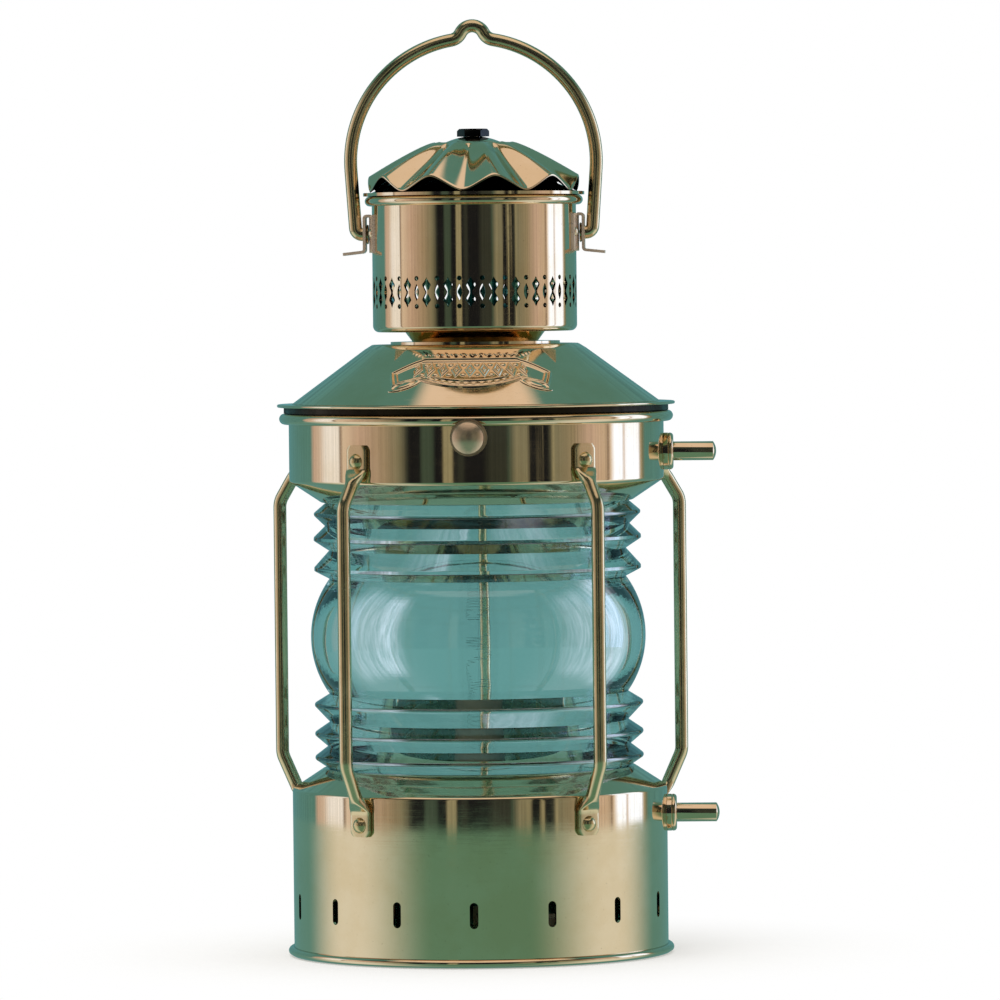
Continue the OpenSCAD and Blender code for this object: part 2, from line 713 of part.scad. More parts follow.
module fluted_cap() color(brass) {
    n = len(cap_rings);
    top = [for (r = cap_rings, i = [0 : cap_steps - 1]) cap_point(r, i, 0)];
    under = [for (r = cap_rings, i = [0 : cap_steps - 1]) cap_point(r, i, cap_t)];
    shift = n * cap_steps;
    quads_top = [for (j = [0 : n - 2], i = [0 : cap_steps - 1])
        let (k = (i + 1) % cap_steps)
        [j * cap_steps + i, (j + 1) * cap_steps + i, (j + 1) * cap_steps + k, j * cap_steps + k]];
    quads_under = [for (q = quads_top) [for (v = [3 : -1 : 0]) q[v] + shift]];
    rim = [for (i = [0 : cap_steps - 1])
        let (k = (i + 1) % cap_steps, o = (n - 1) * cap_steps)
        [o + i, o + i + shift, o + k + shift, o + k]];
    hole = [for (i = [0 : cap_steps - 1])
        let (k = (i + 1) % cap_steps)
        [i, k, k + shift, i + shift]];
    faces = concat(quads_top, quads_under, rim, hole);
    polyhedron(concat(top, under), [for (f = faces) [for (v = [3 : -1 : 0]) f[v]]], convexity = 10);
}

washer_h = 2.4;
washer_r = 10.8;
washer_ball_r = 26;

module cap_washer() color(brass) rotate_extrude($fn = 120) difference() {
    translate([0, cap_top_z + 0.03]) intersection() {
        translate([0, washer_h - washer_ball_r]) circle(r = washer_ball_r, $fn = 180);
        square([washer_r, washer_h]);
    }
    translate([0, cap_top_z]) square([rod_r + fit_gap, 5]);
}

module cap_nut() color(black_metal) difference() {
    intersection() {
        translate([0, 0, cap_nut_z]) cylinder(r = 6.3, h = cap_nut_h, $fn = 6);
        translate([0, 0, cap_nut_z + cap_nut_h - 5.4]) cylinder(r1 = 10.85, r2 = 5.45, h = 5.4);
    }
    translate([0, 0, cap_top_z]) cylinder(r = rod_r + fit_gap, h = 8);
}

// ---------- bail and ears ----------

ear_mid_z = (ear_z0 + ear_z1) / 2;

// A strip curved to the drum, folded over at its top and brought down again as a flat outer leg,
// which holds the bail and ends in a tab that points outwards.
module ear_right() color(satin_brass) difference() {
    half_w = 11.6;
    leg_w = 12.6;
    fold_z = ear_z1 - ear_t / 2;
    union() {
        intersection() {
            ring(ear_in_r + ear_t, ear_in_r, ear_z0, ear_z1 - 0.3);
            translate([20, -half_w, ear_z0 - 1]) cube([30, 2 * half_w, 20]);
        }
        translate([0, leg_w / 2, 0]) rotate([90, 0, 0]) linear_extrude(leg_w)
            sheet_path([[40.4, fold_z], [ear_outer_x, fold_z], [ear_outer_x, 273.8], [51, 272.9]], ear_t);
    }
    translate([ear_in_r + ear_t + 0.3, 0, bail_pivot_z]) rotate([0, 90, 0])
        cylinder(r = bail_rod_r + 0.08, h = 8);
    ear_rivet_holes(ear_rivet_r + fit_gap);
}

module ear_left() mirror([1, 0, 0]) ear_right();

module ear_rivets() color(satin_brass)
    for (s = [-1, 1], t = [-1, 1])
        rotate([0, 0, s * 90 + t * asin(ear_rivet_y / drum_r)]) translate([0, -drum_r, ear_mid_z])
            rotate([90, 0, 0]) {
                translate([0, 0, -2]) cylinder(r = ear_rivet_r, h = 3.3);
                translate([0, 0, -1.9]) cylinder(r = 1.8, h = 0.8);
                translate([0, 0, ear_in_r + ear_t + 0.05 - drum_r]) dome(1.8, 0.9);
            }

// The crown is a small bend that stands up out of the arch and meets it through a hollow bend of
// the same radius on each side, so every stretch of the bail is tangent to the next.
crown_bend_r = 5;
crown_rise = bail_arch_r - 0.2;
hollow_reach = bail_arch_r + crown_bend_r;
hollow_up = (hollow_reach * hollow_reach - 4 * crown_bend_r * crown_bend_r + crown_rise * crown_rise)
    / (2 * crown_rise);
hollow_out = sqrt(hollow_reach * hollow_reach - hollow_up * hollow_up);
arch_end_deg = atan2(hollow_up, hollow_out);
crown_end_deg = atan2(hollow_up - crown_rise, hollow_out);

// One side of the bail in the XZ plane: a headed pivot end, a sharp elbow and a leg that leans out
// to meet the arch.
module bail_side() {
    elbow = [bail_elbow_x, bail_pivot_z];
    centre = [0, bail_arch_z];
    leg_top = touch_point(elbow, centre, bail_arch_r, -1);
    from_deg = atan2(leg_top[1] - bail_arch_z, leg_top[0]);
    head_x = ear_in_r + ear_t + 0.15 + rod_lap;
    lap_deg = 0.25;
    rod_between([head_x, bail_pivot_z], elbow, bail_rod_r);
    rod_between([head_x, bail_pivot_z], [ear_outer_x - ear_t / 2 - 0.15 - rod_lap, bail_pivot_z],
        bail_head_r);
    translate([elbow[0], elbow[1], 0]) sphere(r = bail_rod_r + 0.05);
    rod_between(elbow, leg_top, bail_rod_r);
    rod_bend(centre, bail_arch_r, from_deg, arch_end_deg + lap_deg, bail_rod_r);
    rod_bend([hollow_out, bail_arch_z + hollow_up], crown_bend_r, 180 + crown_end_deg,
        180 + arch_end_deg, bail_rod_r + bend_swell);
}

module bail() color(rod_brass) rotate([90, 0, 0]) {
    bail_side();
    mirror([1, 0, 0]) bail_side();
    rod_arc([0, bail_arch_z + crown_rise], crown_bend_r, crown_end_deg - 2, 182 - crown_end_deg,
        bail_rod_r);
}

// ---------- lamp ----------

strap_z = lower_seat_z + half_t + 0.05;
strap_t = 1.6;
strap_screw_x = 48.6;
holder_r = 12;
holder_neck_r = 9;
bulb_cap_r = 7.52;
bulb_seat_z = 51;
bulb_cap_top = 76;
bulb_top_z = 141;
glass_t = 0.6;

module lamp_strap() color(satin_brass) difference() {
    union() {
        translate([-51.3, -7, strap_z]) cube([102.6, 14, strap_t]);
        translate([0, 0, strap_z]) cylinder(r = 14, h = strap_t);
    }
    for (s = [-1, 1]) translate([s * strap_screw_x, 0, strap_z - 1]) cylinder(r = 1.5, h = 4);
    translate([0, 0, strap_z - 1]) cylinder(r = holder_neck_r + fit_gap, h = 4);
}

module strap_screws() color(steel)
    for (s = [-1, 1]) translate([s * strap_screw_x, 0, strap_z + strap_t + 0.02]) {
        dome(2.5, 1.3);
        translate([0, 0, -8]) cylinder(r = 1.45, h = 8.1);
    }

module lamp_holder() color(cream) difference() {
    union() {
        translate([0, 0, 37]) cylinder(r = holder_r, h = strap_z - 37.05);
        translate([0, 0, 37]) cylinder(r = holder_neck_r, h = 38);
    }
    translate([0, 0, bulb_seat_z - 1]) cylinder(r = bulb_cap_r + 0.08, h = 40);
    for (s = [-1, 1]) translate([0, s * wire_y, 36]) cylinder(r = 1.3, h = 9);
}

module holder_ring() color(satin_brass)
    ring(12.6, holder_neck_r + fit_gap, strap_z + strap_t + 0.02, strap_z + strap_t + 2.6);

module bulb_cap() color(brass) {
    translate([0, 0, bulb_seat_z + 2]) cylinder(r = bulb_cap_r, h = bulb_cap_top - bulb_seat_z - 2);
    translate([0, 0, bulb_seat_z]) cylinder(r1 = 2.5, r2 = 5, h = 2.1);
}

module bulb_shape(r, top) {
    translate([0, bulb_cap_top + 0.02]) square([r, top - r - bulb_cap_top - 0.02]);
    intersection() {
        translate([0, top - r]) circle(r = r);
        translate([0, top - r]) square([r, r]);
    }
}

module bulb_glass() color(clear_glass) rotate_extrude($fn = 96) difference() {
    bulb_shape(bulb_r, bulb_top_z);
    bulb_shape(bulb_r - glass_t, bulb_top_z - glass_t);
}

module bulb_stem() color(clear_glass) rotate_extrude($fn = 64)
    polygon([[0, bulb_cap_top + 0.02], [4.6, bulb_cap_top + 0.02], [1.6, 88], [0, 88]]);

module bulb_filament() color(steel) {
    lead_r = 0.3;
    reach = 4.4;
    rotate([90, 0, 0]) {
        for (s = [-1, 1]) rod_between([s * 0.9, 88.5], [s * reach, filament_z], lead_r);
        rod_between([-1.4, 88.6], [1.4, 88.6], 0.45);
        rod_between([-reach - 0.6, filament_z], [reach + 0.6, filament_z], 0.5);
    }
}

terminal_x = 30;
wire_y = 4;
wire_z = 8;

module terminal_block() color(cream) difference() {
    translate([terminal_x - 6, -12, plate_z + plate_t + 0.02]) cube([12, 24, 11]);
    for (s = [-1, 1]) {
        translate([terminal_x, s * 9, 0]) cylinder(r = 1.3, h = 20);
        translate([terminal_x - 7, s * wire_y, wire_z]) rotate([0, 90, 0]) cylinder(r = 1.5, h = 14);
        translate([terminal_x, s * wire_y, 9]) cylinder(r = 1.6, h = 6);
    }
}

gland_z = 36;
gland_r = 6;
gland_bore_r = 3.2;

module gland_turned() rotate([0, 0, 180]) translate([0, 0, gland_z]) rotate([90, 0, 0]) children();

module cable_gland() color(satin_brass) difference() {
    gland_turned() difference() {
        union() {
            translate([0, 0, 66]) cylinder(r = gland_r, h = 9);
            translate([0, 0, 72.2]) cylinder(r = 8.6, h = 5, $fn = 6);
            translate([0, 0, 77]) cylinder(r = 7, h = 5.5);
            translate([0, 0, 82.5]) dome(7, 2.6);
        }
        translate([0, 0, 60]) cylinder(r = gland_bore_r, h = 40);
    }
    difference() {
        translate([0, 0, gland_z - 12]) cylinder(r = shell_r + 0.02, h = 24, $fn = 180);
        gland_turned() cylinder(r = gland_r, h = 90);
    }
}

module gland_nut() color(satin_brass) gland_turned() translate([0, 0, 68.4]) difference() {
    cylinder(r = 8.6, h = 2.8, $fn = 6);
    translate([0, 0, -1]) cylinder(r = gland_r + fit_gap, h = 5);
}

// Two insulated wires from the terminal block up into the underside of the lamp holder.
module lamp_flex() color(rubber) {
    wire_r = 1;
    bend = 6;
    for (s = [-1, 1]) translate([0, s * wire_y, 0]) rotate([90, 0, 0]) {
        rod_between([terminal_x - 4, wire_z], [bend, wire_z], wire_r);
        rod_bend([bend, wire_z + bend], bend, 180, 270, wire_r);
        rod_between([0, wire_z + bend], [0, 44], wire_r);
    }
}

base_shell();
base_plate();
plate_lugs();
base_screws();
lens();
lens_gasket_lower();
lens_gasket_upper();
upper_ring();
guard(-36);  // guard_front_left
guard(36);  // guard_front_right
guard(-108);  // guard_side_left
guard(108);  // guard_side_right
guard(180);  // guard_rear
guard_rivets_upper();
guard_rivets_lower();
stud_upper();
stud_lower();
stud_nuts();
latch_body();
latch_bolt();
latch_spring();
latch_knob();
hinge_base();
hinge_base_rivets();
hinge_leaf();
hinge_leaf_rivets();
hinge_pin();
roof_cone();
roof_skirt();
scroll_plate();
chimney_neck();
chimney_drum();
drum_lid();
cap_bridge();
cap_rod();
cap_spacer();
cap_lower_nut();
fluted_cap();
cap_washer();
cap_nut();
ear_left();
ear_right();
ear_rivets();
bail();
lamp_strap();
strap_screws();
lamp_holder();
holder_ring();
bulb_cap();
bulb_glass();
bulb_stem();
bulb_filament();
terminal_block();
cable_gland();
gland_nut();
lamp_flex();
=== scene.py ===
"""Looks of the ship lantern: polished brass shells, ribbed lens, guards, bail and studio."""

import json
import math

import bmesh
import bpy
import numpy as np
from mathutils import Matrix, Vector

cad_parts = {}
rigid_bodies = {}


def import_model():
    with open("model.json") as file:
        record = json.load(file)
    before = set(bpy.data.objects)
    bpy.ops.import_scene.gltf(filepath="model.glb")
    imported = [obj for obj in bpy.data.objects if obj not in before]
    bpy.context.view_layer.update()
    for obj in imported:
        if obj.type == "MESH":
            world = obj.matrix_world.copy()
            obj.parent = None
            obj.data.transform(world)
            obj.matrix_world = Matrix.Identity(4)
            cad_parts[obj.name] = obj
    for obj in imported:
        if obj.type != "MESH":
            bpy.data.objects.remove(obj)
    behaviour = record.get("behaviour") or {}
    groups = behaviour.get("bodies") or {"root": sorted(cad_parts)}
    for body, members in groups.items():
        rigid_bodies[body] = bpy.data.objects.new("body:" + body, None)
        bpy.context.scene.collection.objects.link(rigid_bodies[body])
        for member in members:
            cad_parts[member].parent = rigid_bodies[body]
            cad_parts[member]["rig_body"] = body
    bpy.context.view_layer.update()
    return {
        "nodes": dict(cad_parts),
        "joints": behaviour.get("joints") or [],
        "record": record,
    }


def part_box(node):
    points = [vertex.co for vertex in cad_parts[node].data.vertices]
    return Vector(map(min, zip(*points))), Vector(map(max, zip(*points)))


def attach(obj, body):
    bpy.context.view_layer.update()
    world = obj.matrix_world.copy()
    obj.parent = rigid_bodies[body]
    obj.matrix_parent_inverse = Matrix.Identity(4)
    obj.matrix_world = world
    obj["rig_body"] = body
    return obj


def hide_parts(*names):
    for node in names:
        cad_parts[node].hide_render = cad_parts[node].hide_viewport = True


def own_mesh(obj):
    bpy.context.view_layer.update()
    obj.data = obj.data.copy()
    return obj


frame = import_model()

MM = 0.001
NODES = frame["nodes"]
SLOT_OF = {part["node"]: part["material_slot"] for part in frame["record"]["subparts"]}
UPRIGHT = Matrix.Identity(4)
SHARP_DEG = 34
TURN_STEPS = 320
ON_AXIS = 1e-6


# ---------- shader helpers ----------

class Graph:
    """A node tree that is written as nested calls."""

    def __init__(self, tree):
        self.tree = tree
        tree.nodes.clear()

    def add(self, kind, inputs=None, out=0, **settings):
        node = self.tree.nodes.new("ShaderNode" + kind)
        for key, value in settings.items():
            setattr(node, key, value)
        for key, value in (inputs or {}).items():
            self.feed(node.inputs[key], value)
        return node.outputs[out]

    def feed(self, socket, value):
        if isinstance(value, bpy.types.NodeSocket):
            self.tree.links.new(value, socket)
        elif isinstance(value, tuple) and len(value) == 3 and socket.type == "RGBA":
            socket.default_value = value + (1,)
        else:
            socket.default_value = value

    def math(self, operation, *values):
        return self.add("Math", dict(enumerate(values)), operation=operation)

    def step(self, value, low, high, out_low=0.0, out_high=1.0):
        return self.add("MapRange", {0: value, 1: low, 2: high, 3: out_low, 4: out_high},
                        interpolation_type="SMOOTHSTEP", clamp=True)

    def mix(self, share, a, b):
        return self.add("Mix", {0: share, 6: a, 7: b}, out=2, data_type="RGBA")

    def noise(self, vector, scale, detail=2.0, roughness=0.5):
        return self.add("TexNoise", {"Vector": vector, "Scale": scale, "Detail": detail,
                                     "Roughness": roughness})

    def stretched(self, vector, scale):
        return self.add("Mapping", {"Vector": vector, "Scale": scale})

    def band(self, value, rise, top, end, fall):
        """1 from top to end, fading to 0 at rise and at fall."""
        return self.math("MULTIPLY", self.step(value, rise, top), self.step(value, fall, end))

    def from_axis(self, parts):
        """Distance from the lantern's axis, for the outputs of a SeparateXYZ node."""
        squares = [self.math("MULTIPLY", side, side) for side in parts[:2]]
        return self.math("SQRT", self.math("ADD", *squares))

    def output(self, shader):
        kind = "OutputMaterial" if isinstance(self.tree.id_data, bpy.types.Material) else "OutputWorld"
        node = self.tree.nodes.new("ShaderNode" + kind)
        self.tree.links.new(shader, node.inputs["Surface"])


def new_material(name):
    material = bpy.data.materials.new(name)
    material.use_nodes = True
    return material, Graph(material.node_tree)


def turned_coordinates(g):
    """(along the turning lines, outwards, up) in metres, for fine lathe and brushing marks."""
    mean_radius = 60 * MM
    parts = g.add("SeparateXYZ", {0: g.add("NewGeometry")}).node.outputs
    angle = g.math("ARCTAN2", parts[0], parts[1])
    along = g.math("MULTIPLY", angle, mean_radius)
    return g.add("CombineXYZ", {0: along, 1: g.from_axis(parts), 2: parts[2]})


def underside(g):
    """1 on faces that look down."""
    up = g.add("SeparateXYZ", {0: g.add("TexCoord", out=1)}, out=2)
    return g.step(up, -0.05, -0.3)


def inner_lid(g):
    """1 on the part of the lid that the cap covers."""
    clean_r = 41.6 * MM
    dark_r = 40.4 * MM
    parts = g.add("SeparateXYZ", {0: g.add("TexCoord", out=3)}).node.outputs
    return g.step(g.from_axis(parts), clean_r, dark_r)


def inner_faces(g):
    """1 on faces that look towards the axis."""
    flat = g.add("VectorMath", {0: g.add("TexCoord", out=3), 1: (1.0, 1.0, 0.0)}, operation="MULTIPLY")
    outward = g.add("VectorMath", {0: flat, 1: g.add("TexCoord", out=1)}, out=1,
                    operation="DOT_PRODUCT")
    return g.step(outward, -0.01, -0.03)


BRASS = (0.86, 0.69, 0.47)
BRASS_DEEP = (0.81, 0.63, 0.40)
PATINA = (0.16, 0.11, 0.05)
# Near black, for painted shade under and inside parts.
SHADE_BLACK = (0.006, 0.005, 0.004)

# Cycles per metre of the marks on the metals.
CLOUD_SCALE = 38
SMUDGE_SCALE = 120
SPECK_SCALE = 1500
DENT_SCALE = 26
GRAIN_SCALE = 900
HAIR_SCALE = (40, 2600, 2600)

# Depth of the marks in the surface.
DENT_DEPTH = 0.03 * MM
HAIR_DEPTH = 0.0006 * MM
GRAIN_DEPTH = 0.0016 * MM
CREASE_REACH = 3 * MM


def metal(name, light, dark, rough, patina, scratch=0.5, grain=0.25, grime=0.35, painted_shade=None,
          shade_colour=SHADE_BLACK, metallic=1.0):
    """Metal with tone variation, smudges, hair scratches, a faint sheet wave and dark creases, and
    painted shade where a mask is given.
    """
    material, g = new_material(name)
    place = g.add("TexCoord", out=3)
    cloud = g.noise(place, CLOUD_SCALE, 4, 0.6)
    smudge = g.noise(place, SMUDGE_SCALE, 5, 0.65)
    hair = g.noise(g.stretched(turned_coordinates(g), HAIR_SCALE), 1, 3, 0.7)
    speck = g.noise(place, SPECK_SCALE, 1)
    tone = g.mix(g.step(cloud, 0.35, 0.68), light, dark)
    spots = g.step(speck, 0.73, 0.8)
    hollow = g.add("AmbientOcclusion", {"Distance": CREASE_REACH}, out=1, samples=6)
    dirt = g.math("MULTIPLY", g.step(hollow, 0.6, 0.15), g.step(smudge, 0.2, 0.6, 0.6 * grime, grime))
    stain = g.math("MAXIMUM", dirt, g.math("MULTIPLY", spots, 0.4))
    colour = g.mix(stain, tone, patina)
    # Painted shade: where the mask is 1, the colour goes to a dark shade colour.
    if painted_shade:
        colour = g.mix(painted_shade(g), colour, shade_colour)
    marks = g.math("MULTIPLY", g.step(hair, 0.45, 0.8), scratch * 0.14)
    gloss = g.math("ADD", g.step(smudge, 0.3, 0.75, rough * 0.75, rough * 1.5), marks)
    gloss = g.math("ADD", gloss, g.math("MULTIPLY", stain, 0.3))
    dents = g.math("MULTIPLY", g.noise(place, DENT_SCALE, 1), DENT_DEPTH)
    height = g.math("ADD", dents, g.math("MULTIPLY", hair, scratch * HAIR_DEPTH))
    pits = g.math("MULTIPLY", g.noise(place, GRAIN_SCALE, 3), grain * GRAIN_DEPTH)
    height = g.math("ADD", height, pits)
    bump = g.add("Bump", {"Strength": 1.0, "Distance": 1.0, "Height": height})
    shader = g.add("BsdfPrincipled", {"Base Color": colour, "Metallic": metallic, "Roughness": gloss,
                                      "Normal": bump})
    g.output(shader)
    return material


def plain(name, light, dark, rough, scale, depth):
    """Rubber, ceramic and the like: two tones in patches, and a fine grain with its bump."""
    material, g = new_material(name)
    place = g.add("TexCoord", out=3)
    cloud = g.noise(place, scale, 4, 0.6)
    fine = g.noise(place, scale * 12, 3, 0.6)
    colour = g.mix(g.step(cloud, 0.35, 0.65), light, dark)
    gloss = g.step(fine, 0.3, 0.7, rough * 0.8, rough * 1.2)
    height = g.math("MULTIPLY", fine, depth)
    bump = g.add("Bump", {"Strength": 1.0, "Distance": 1.0, "Height": height})
    g.output(g.add("BsdfPrincipled", {"Base Color": colour, "Roughness": gloss, "Normal": bump}))
    return material


def facing_angle(g, direction):
    """Degrees round the lantern from the viewer's side; the studio turns with the camera."""
    seen = g.add("VectorTransform", {0: direction}, vector_type="VECTOR", convert_from="WORLD",
                 convert_to="CAMERA")
    parts = g.add("SeparateXYZ", {0: seen}).node.outputs
    return g.math("DEGREES", g.math("ARCTAN2", parts[0], g.math("MULTIPLY", parts[2], -1.0)))


# Directions in which the two studio windows stand, for their painted reflections on the glass: where each
# fades in, is full, and fades out.
WINDOWS = [(-112.0, -92.0, -62.0, -50.0), (50.0, 82.0, 122.0, 134.0)]
WINDOW_CORES = [(-78.0, -69.0, -64.0, -57.0), (98.0, 106.0, 116.0, 126.0)]
WINDOW_HEIGHTS = (-0.66, -0.46, 0.56, 0.74)
PAINTED_GLINT_COLOUR = (0.8, 0.82, 1.0)
PAINTED_GLINT_STRENGTH = 0.27


def painted_window_glints(g, bump):
    """Painted reflections of the two studio windows and glints on the steep ridge faces: an emission on
    the outer face of the glass, seen by the camera only.
    """
    back = g.add("VectorMath", {0: g.add("NewGeometry", out=4)}, operation="NORMALIZE")
    along = g.add("VectorMath", {0: back, 1: bump}, out=1, operation="DOT_PRODUCT")
    twice = g.add("VectorMath", {0: bump, 3: g.math("MULTIPLY", along, 2.0)}, operation="SCALE")
    mirrored = g.add("VectorMath", {0: twice, 1: back}, operation="SUBTRACT")
    degrees = facing_angle(g, mirrored)
    wide = g.math("MAXIMUM", *(g.band(degrees, *window) for window in WINDOWS))
    core = g.math("MAXIMUM", *(g.band(degrees, *window) for window in WINDOW_CORES))
    height = g.add("SeparateXYZ", {0: mirrored}, out=2)
    brush = g.noise(g.add("CombineXYZ", {0: g.math("MULTIPLY", degrees, 0.35),
                                         1: g.math("MULTIPLY", height, 2.2)}), 1, 4, 0.6)
    panes = g.math("MULTIPLY", g.step(brush, 0.3, 0.7, 0.35, 1.0), g.math("ADD", wide, core))
    tall = g.band(height, *WINDOW_HEIGHTS)
    steep = g.step(g.math("ABSOLUTE", height), 0.84, 0.95, 0.0, 0.5)
    seen = g.math("MULTIPLY", g.add("LightPath"), g.math("MAXIMUM", tall, steep))
    strength = g.math("MULTIPLY", g.math("MULTIPLY", panes, seen), PAINTED_GLINT_STRENGTH)
    return g.add("Emission", {"Color": PAINTED_GLINT_COLOUR, "Strength": strength})


def lens_glass():
    """Pressed glass: a faint sea-green tint, a slight swirl in the surface, a fine skin and painted
    reflections of the studio windows.
    """
    swirl_depth = 0.06 * MM
    skin_depth = 0.0008 * MM
    material, g = new_material("lens_glass")
    place = g.add("TexCoord", out=3)
    swirl = g.noise(g.stretched(place, (1, 1, 0.35)), 55, 3, 0.55)
    fine = g.noise(place, 700, 2)
    height = g.math("ADD", g.math("MULTIPLY", swirl, swirl_depth), g.math("MULTIPLY", fine, skin_depth))
    bump = g.add("Bump", {"Strength": 1.0, "Distance": 1.0, "Height": height})
    smear = g.noise(place, 90, 4, 0.6)
    gloss = g.step(smear, 0.4, 0.8, 0.0, 0.05)
    clear = g.add("BsdfGlass", {"Color": (0.93, 0.98, 0.975), "Roughness": gloss, "IOR": 1.5,
                                "Normal": bump})
    sheen = g.add("BsdfAnisotropic", {"Color": (0.9, 0.92, 1.0), "Roughness": 0.06, "Normal": bump})
    rim = g.add("Fresnel", {"IOR": 1.45, "Normal": bump})
    share = g.math("MULTIPLY", g.math("ADD", rim, 0.05), 0.55)
    front = g.math("SUBTRACT", 1.0, g.add("NewGeometry", out=6))
    surface = g.add("MixShader", {0: g.math("MULTIPLY", share, front), 1: clear, 2: sheen})
    # Painted reflections of the studio windows, added as an emission.
    surface = g.add("AddShader", {0: surface, 1: painted_window_glints(g, bump)})
    veil = g.add("BsdfTransparent", {"Color": (0.93, 0.98, 0.97)})
    shadow = g.add("LightPath", out=1)
    g.output(g.add("MixShader", {0: shadow, 1: surface, 2: veil}))
    return material


def bulb_glass():
    """A blown tube, thin enough to look through without bending the view."""
    material, g = new_material("bulb_glass")
    place = g.add("TexCoord", out=3)
    smear = g.noise(place, 140, 3, 0.6)
    gloss = g.step(smear, 0.3, 0.8, 0.01, 0.08)
    veil = g.add("BsdfTransparent", {"Color": (0.985, 0.99, 0.99)})
    shine = g.add("BsdfAnisotropic", {"Color": (1, 1, 1), "Roughness": gloss})
    rim = g.add("Fresnel", {"IOR": 1.25})
    g.output(g.add("MixShader", {0: g.math("MULTIPLY", rim, 0.15), 1: veil, 2: shine}))
    return material


# Each metal is (name, light tone, dark tone, roughness, patina), then how worn or dirty it is.
# Each plain one is (name, light tone, dark tone, roughness, cycles per metre, depth of its grain).
MATERIALS = {
    "polished_brass": metal("polished_brass", BRASS, BRASS_DEEP, 0.045, PATINA),
    "satin_brass": metal("satin_brass", BRASS, (0.74, 0.58, 0.36), 0.24, PATINA,
                         scratch=0.9, grain=1.0),
    "rod_brass": metal("rod_brass", (0.80, 0.65, 0.40), (0.68, 0.56, 0.33), 0.13, PATINA,
                       scratch=1.0, grain=1.6),
    "black_nut": metal("black_nut", (0.03, 0.032, 0.034), (0.012, 0.013, 0.014), 0.22,
                       (0.004, 0.004, 0.004), grain=1.0),
    "lens_glass": lens_glass(),
    "bulb_glass": bulb_glass(),
    "gasket_rubber": plain("gasket_rubber", (0.03, 0.03, 0.03), (0.015, 0.015, 0.016), 0.6, 90,
                           0.01 * MM),
    "wire_sleeve": plain("wire_sleeve", (0.05, 0.045, 0.04), (0.02, 0.02, 0.02), 0.42, 300,
                         0.006 * MM),
    "steel": metal("steel", (0.62, 0.61, 0.58), (0.5, 0.5, 0.49), 0.25, (0.12, 0.1, 0.08), grain=1.0),
    "filament_wire": metal("filament_wire", (0.3, 0.5, 0.5), (0.25, 0.45, 0.44), 0.5, (0.2, 0.35, 0.35),
                           metallic=0.3),
    "ceramic": plain("ceramic", (0.42, 0.32, 0.21), (0.33, 0.25, 0.16), 0.22, 60, 0.004 * MM),
}
# Painted shade: near black on the cap's faces that look down.
CAP_BRASS = metal("cap_brass", BRASS, BRASS_DEEP, 0.05, PATINA, grime=0.1, painted_shade=underside)
# Painted shade: dark teal on the faces that look towards the axis, inside the base and the gallery drum.
SHELL_BRASS = metal("shell_brass", BRASS, BRASS_DEEP, 0.04, PATINA, grime=0.1, painted_shade=inner_faces,
                    shade_colour=(0.1, 0.26, 0.23))
RIVET_BRASS = metal("rivet_brass", (0.74, 0.59, 0.32), (0.6, 0.47, 0.25), 0.2, PATINA, scratch=0.8,
                    grain=1.0)
# Painted shade: near black on the part of the lid under the cap.
LID_BRASS = metal("lid_brass", BRASS, BRASS_DEEP, 0.05, PATINA, grime=0.1, painted_shade=inner_lid)
# Painted shade: the roof skirt is near black, for the shade under the roof's brim.
SKIRT_SHADE_BRASS = metal("skirt_shade_brass", (0.035, 0.028, 0.018), (0.015, 0.012, 0.008), 0.4, SHADE_BLACK, scratch=1.0)
EAR_BRASS = metal("ear_brass", (0.9, 0.72, 0.55), (0.78, 0.6, 0.44), 0.26, PATINA, scratch=0.8,
                  grain=1.0, grime=0.2, metallic=0.72)
WORN_BRASS = metal("worn_brass", (0.72, 0.55, 0.38), (0.58, 0.45, 0.31), 0.36, PATINA, scratch=1.0,
                   grain=1.4)


# ---------- mesh helpers ----------

def piece(name, verts, faces, nodes, sharp=SHARP_DEG):
    """A closed mesh that stands for the CAD nodes and takes their body and finish."""
    mesh = bpy.data.meshes.new(name)
    mesh.from_pydata([tuple(v) for v in verts], [], [tuple(f) for f in faces])
    return finished(name, mesh, nodes, sharp)


def repainted(obj, material):
    obj.data.materials.clear()
    obj.data.materials.append(material)
    return obj


def finished(name, mesh, nodes, sharp=SHARP_DEG):
    """Puts a mesh on the bodies of its CAD nodes, with outward faces and smooth shading."""
    bm = bmesh.new()
    bm.from_mesh(mesh)
    bmesh.ops.recalc_face_normals(bm, faces=bm.faces)
    bm.to_mesh(mesh)
    bm.free()
    mesh.materials.clear()
    mesh.materials.append(MATERIALS[SLOT_OF[nodes[0]]])
    mesh.shade_smooth()
    mesh.set_sharp_from_angle(angle=math.radians(sharp))
    obj = bpy.data.objects.new(name, mesh)
    bpy.context.scene.collection.objects.link(obj)
    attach(obj, NODES[nodes[0]]["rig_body"])
    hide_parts(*nodes)
    return obj


def welded(node):
    """A CAD node's mesh with its doubled corners joined."""
    bm = bmesh.new()
    bm.from_mesh(NODES[node].data)
    bmesh.ops.remove_doubles(bm, verts=bm.verts, dist=0.002 * MM)
    return bm


def walk_loops(edges):
    """Closed runs of vertices through a set of edges."""
    near = {}
    for e in edges:
        for v in e.verts:
            near.setdefault(v, []).append(e.other_vert(v))
    loops = []
    left = set(near)
    for start in near:
        if start not in left:
            continue
        left.discard(start)
        run = [start]
        while True:
            step = [v for v in near[run[-1]] if v in left]
            if not step:
                break
            left.discard(step[0])
            run.append(step[0])
        loops.append(run)
    return loops


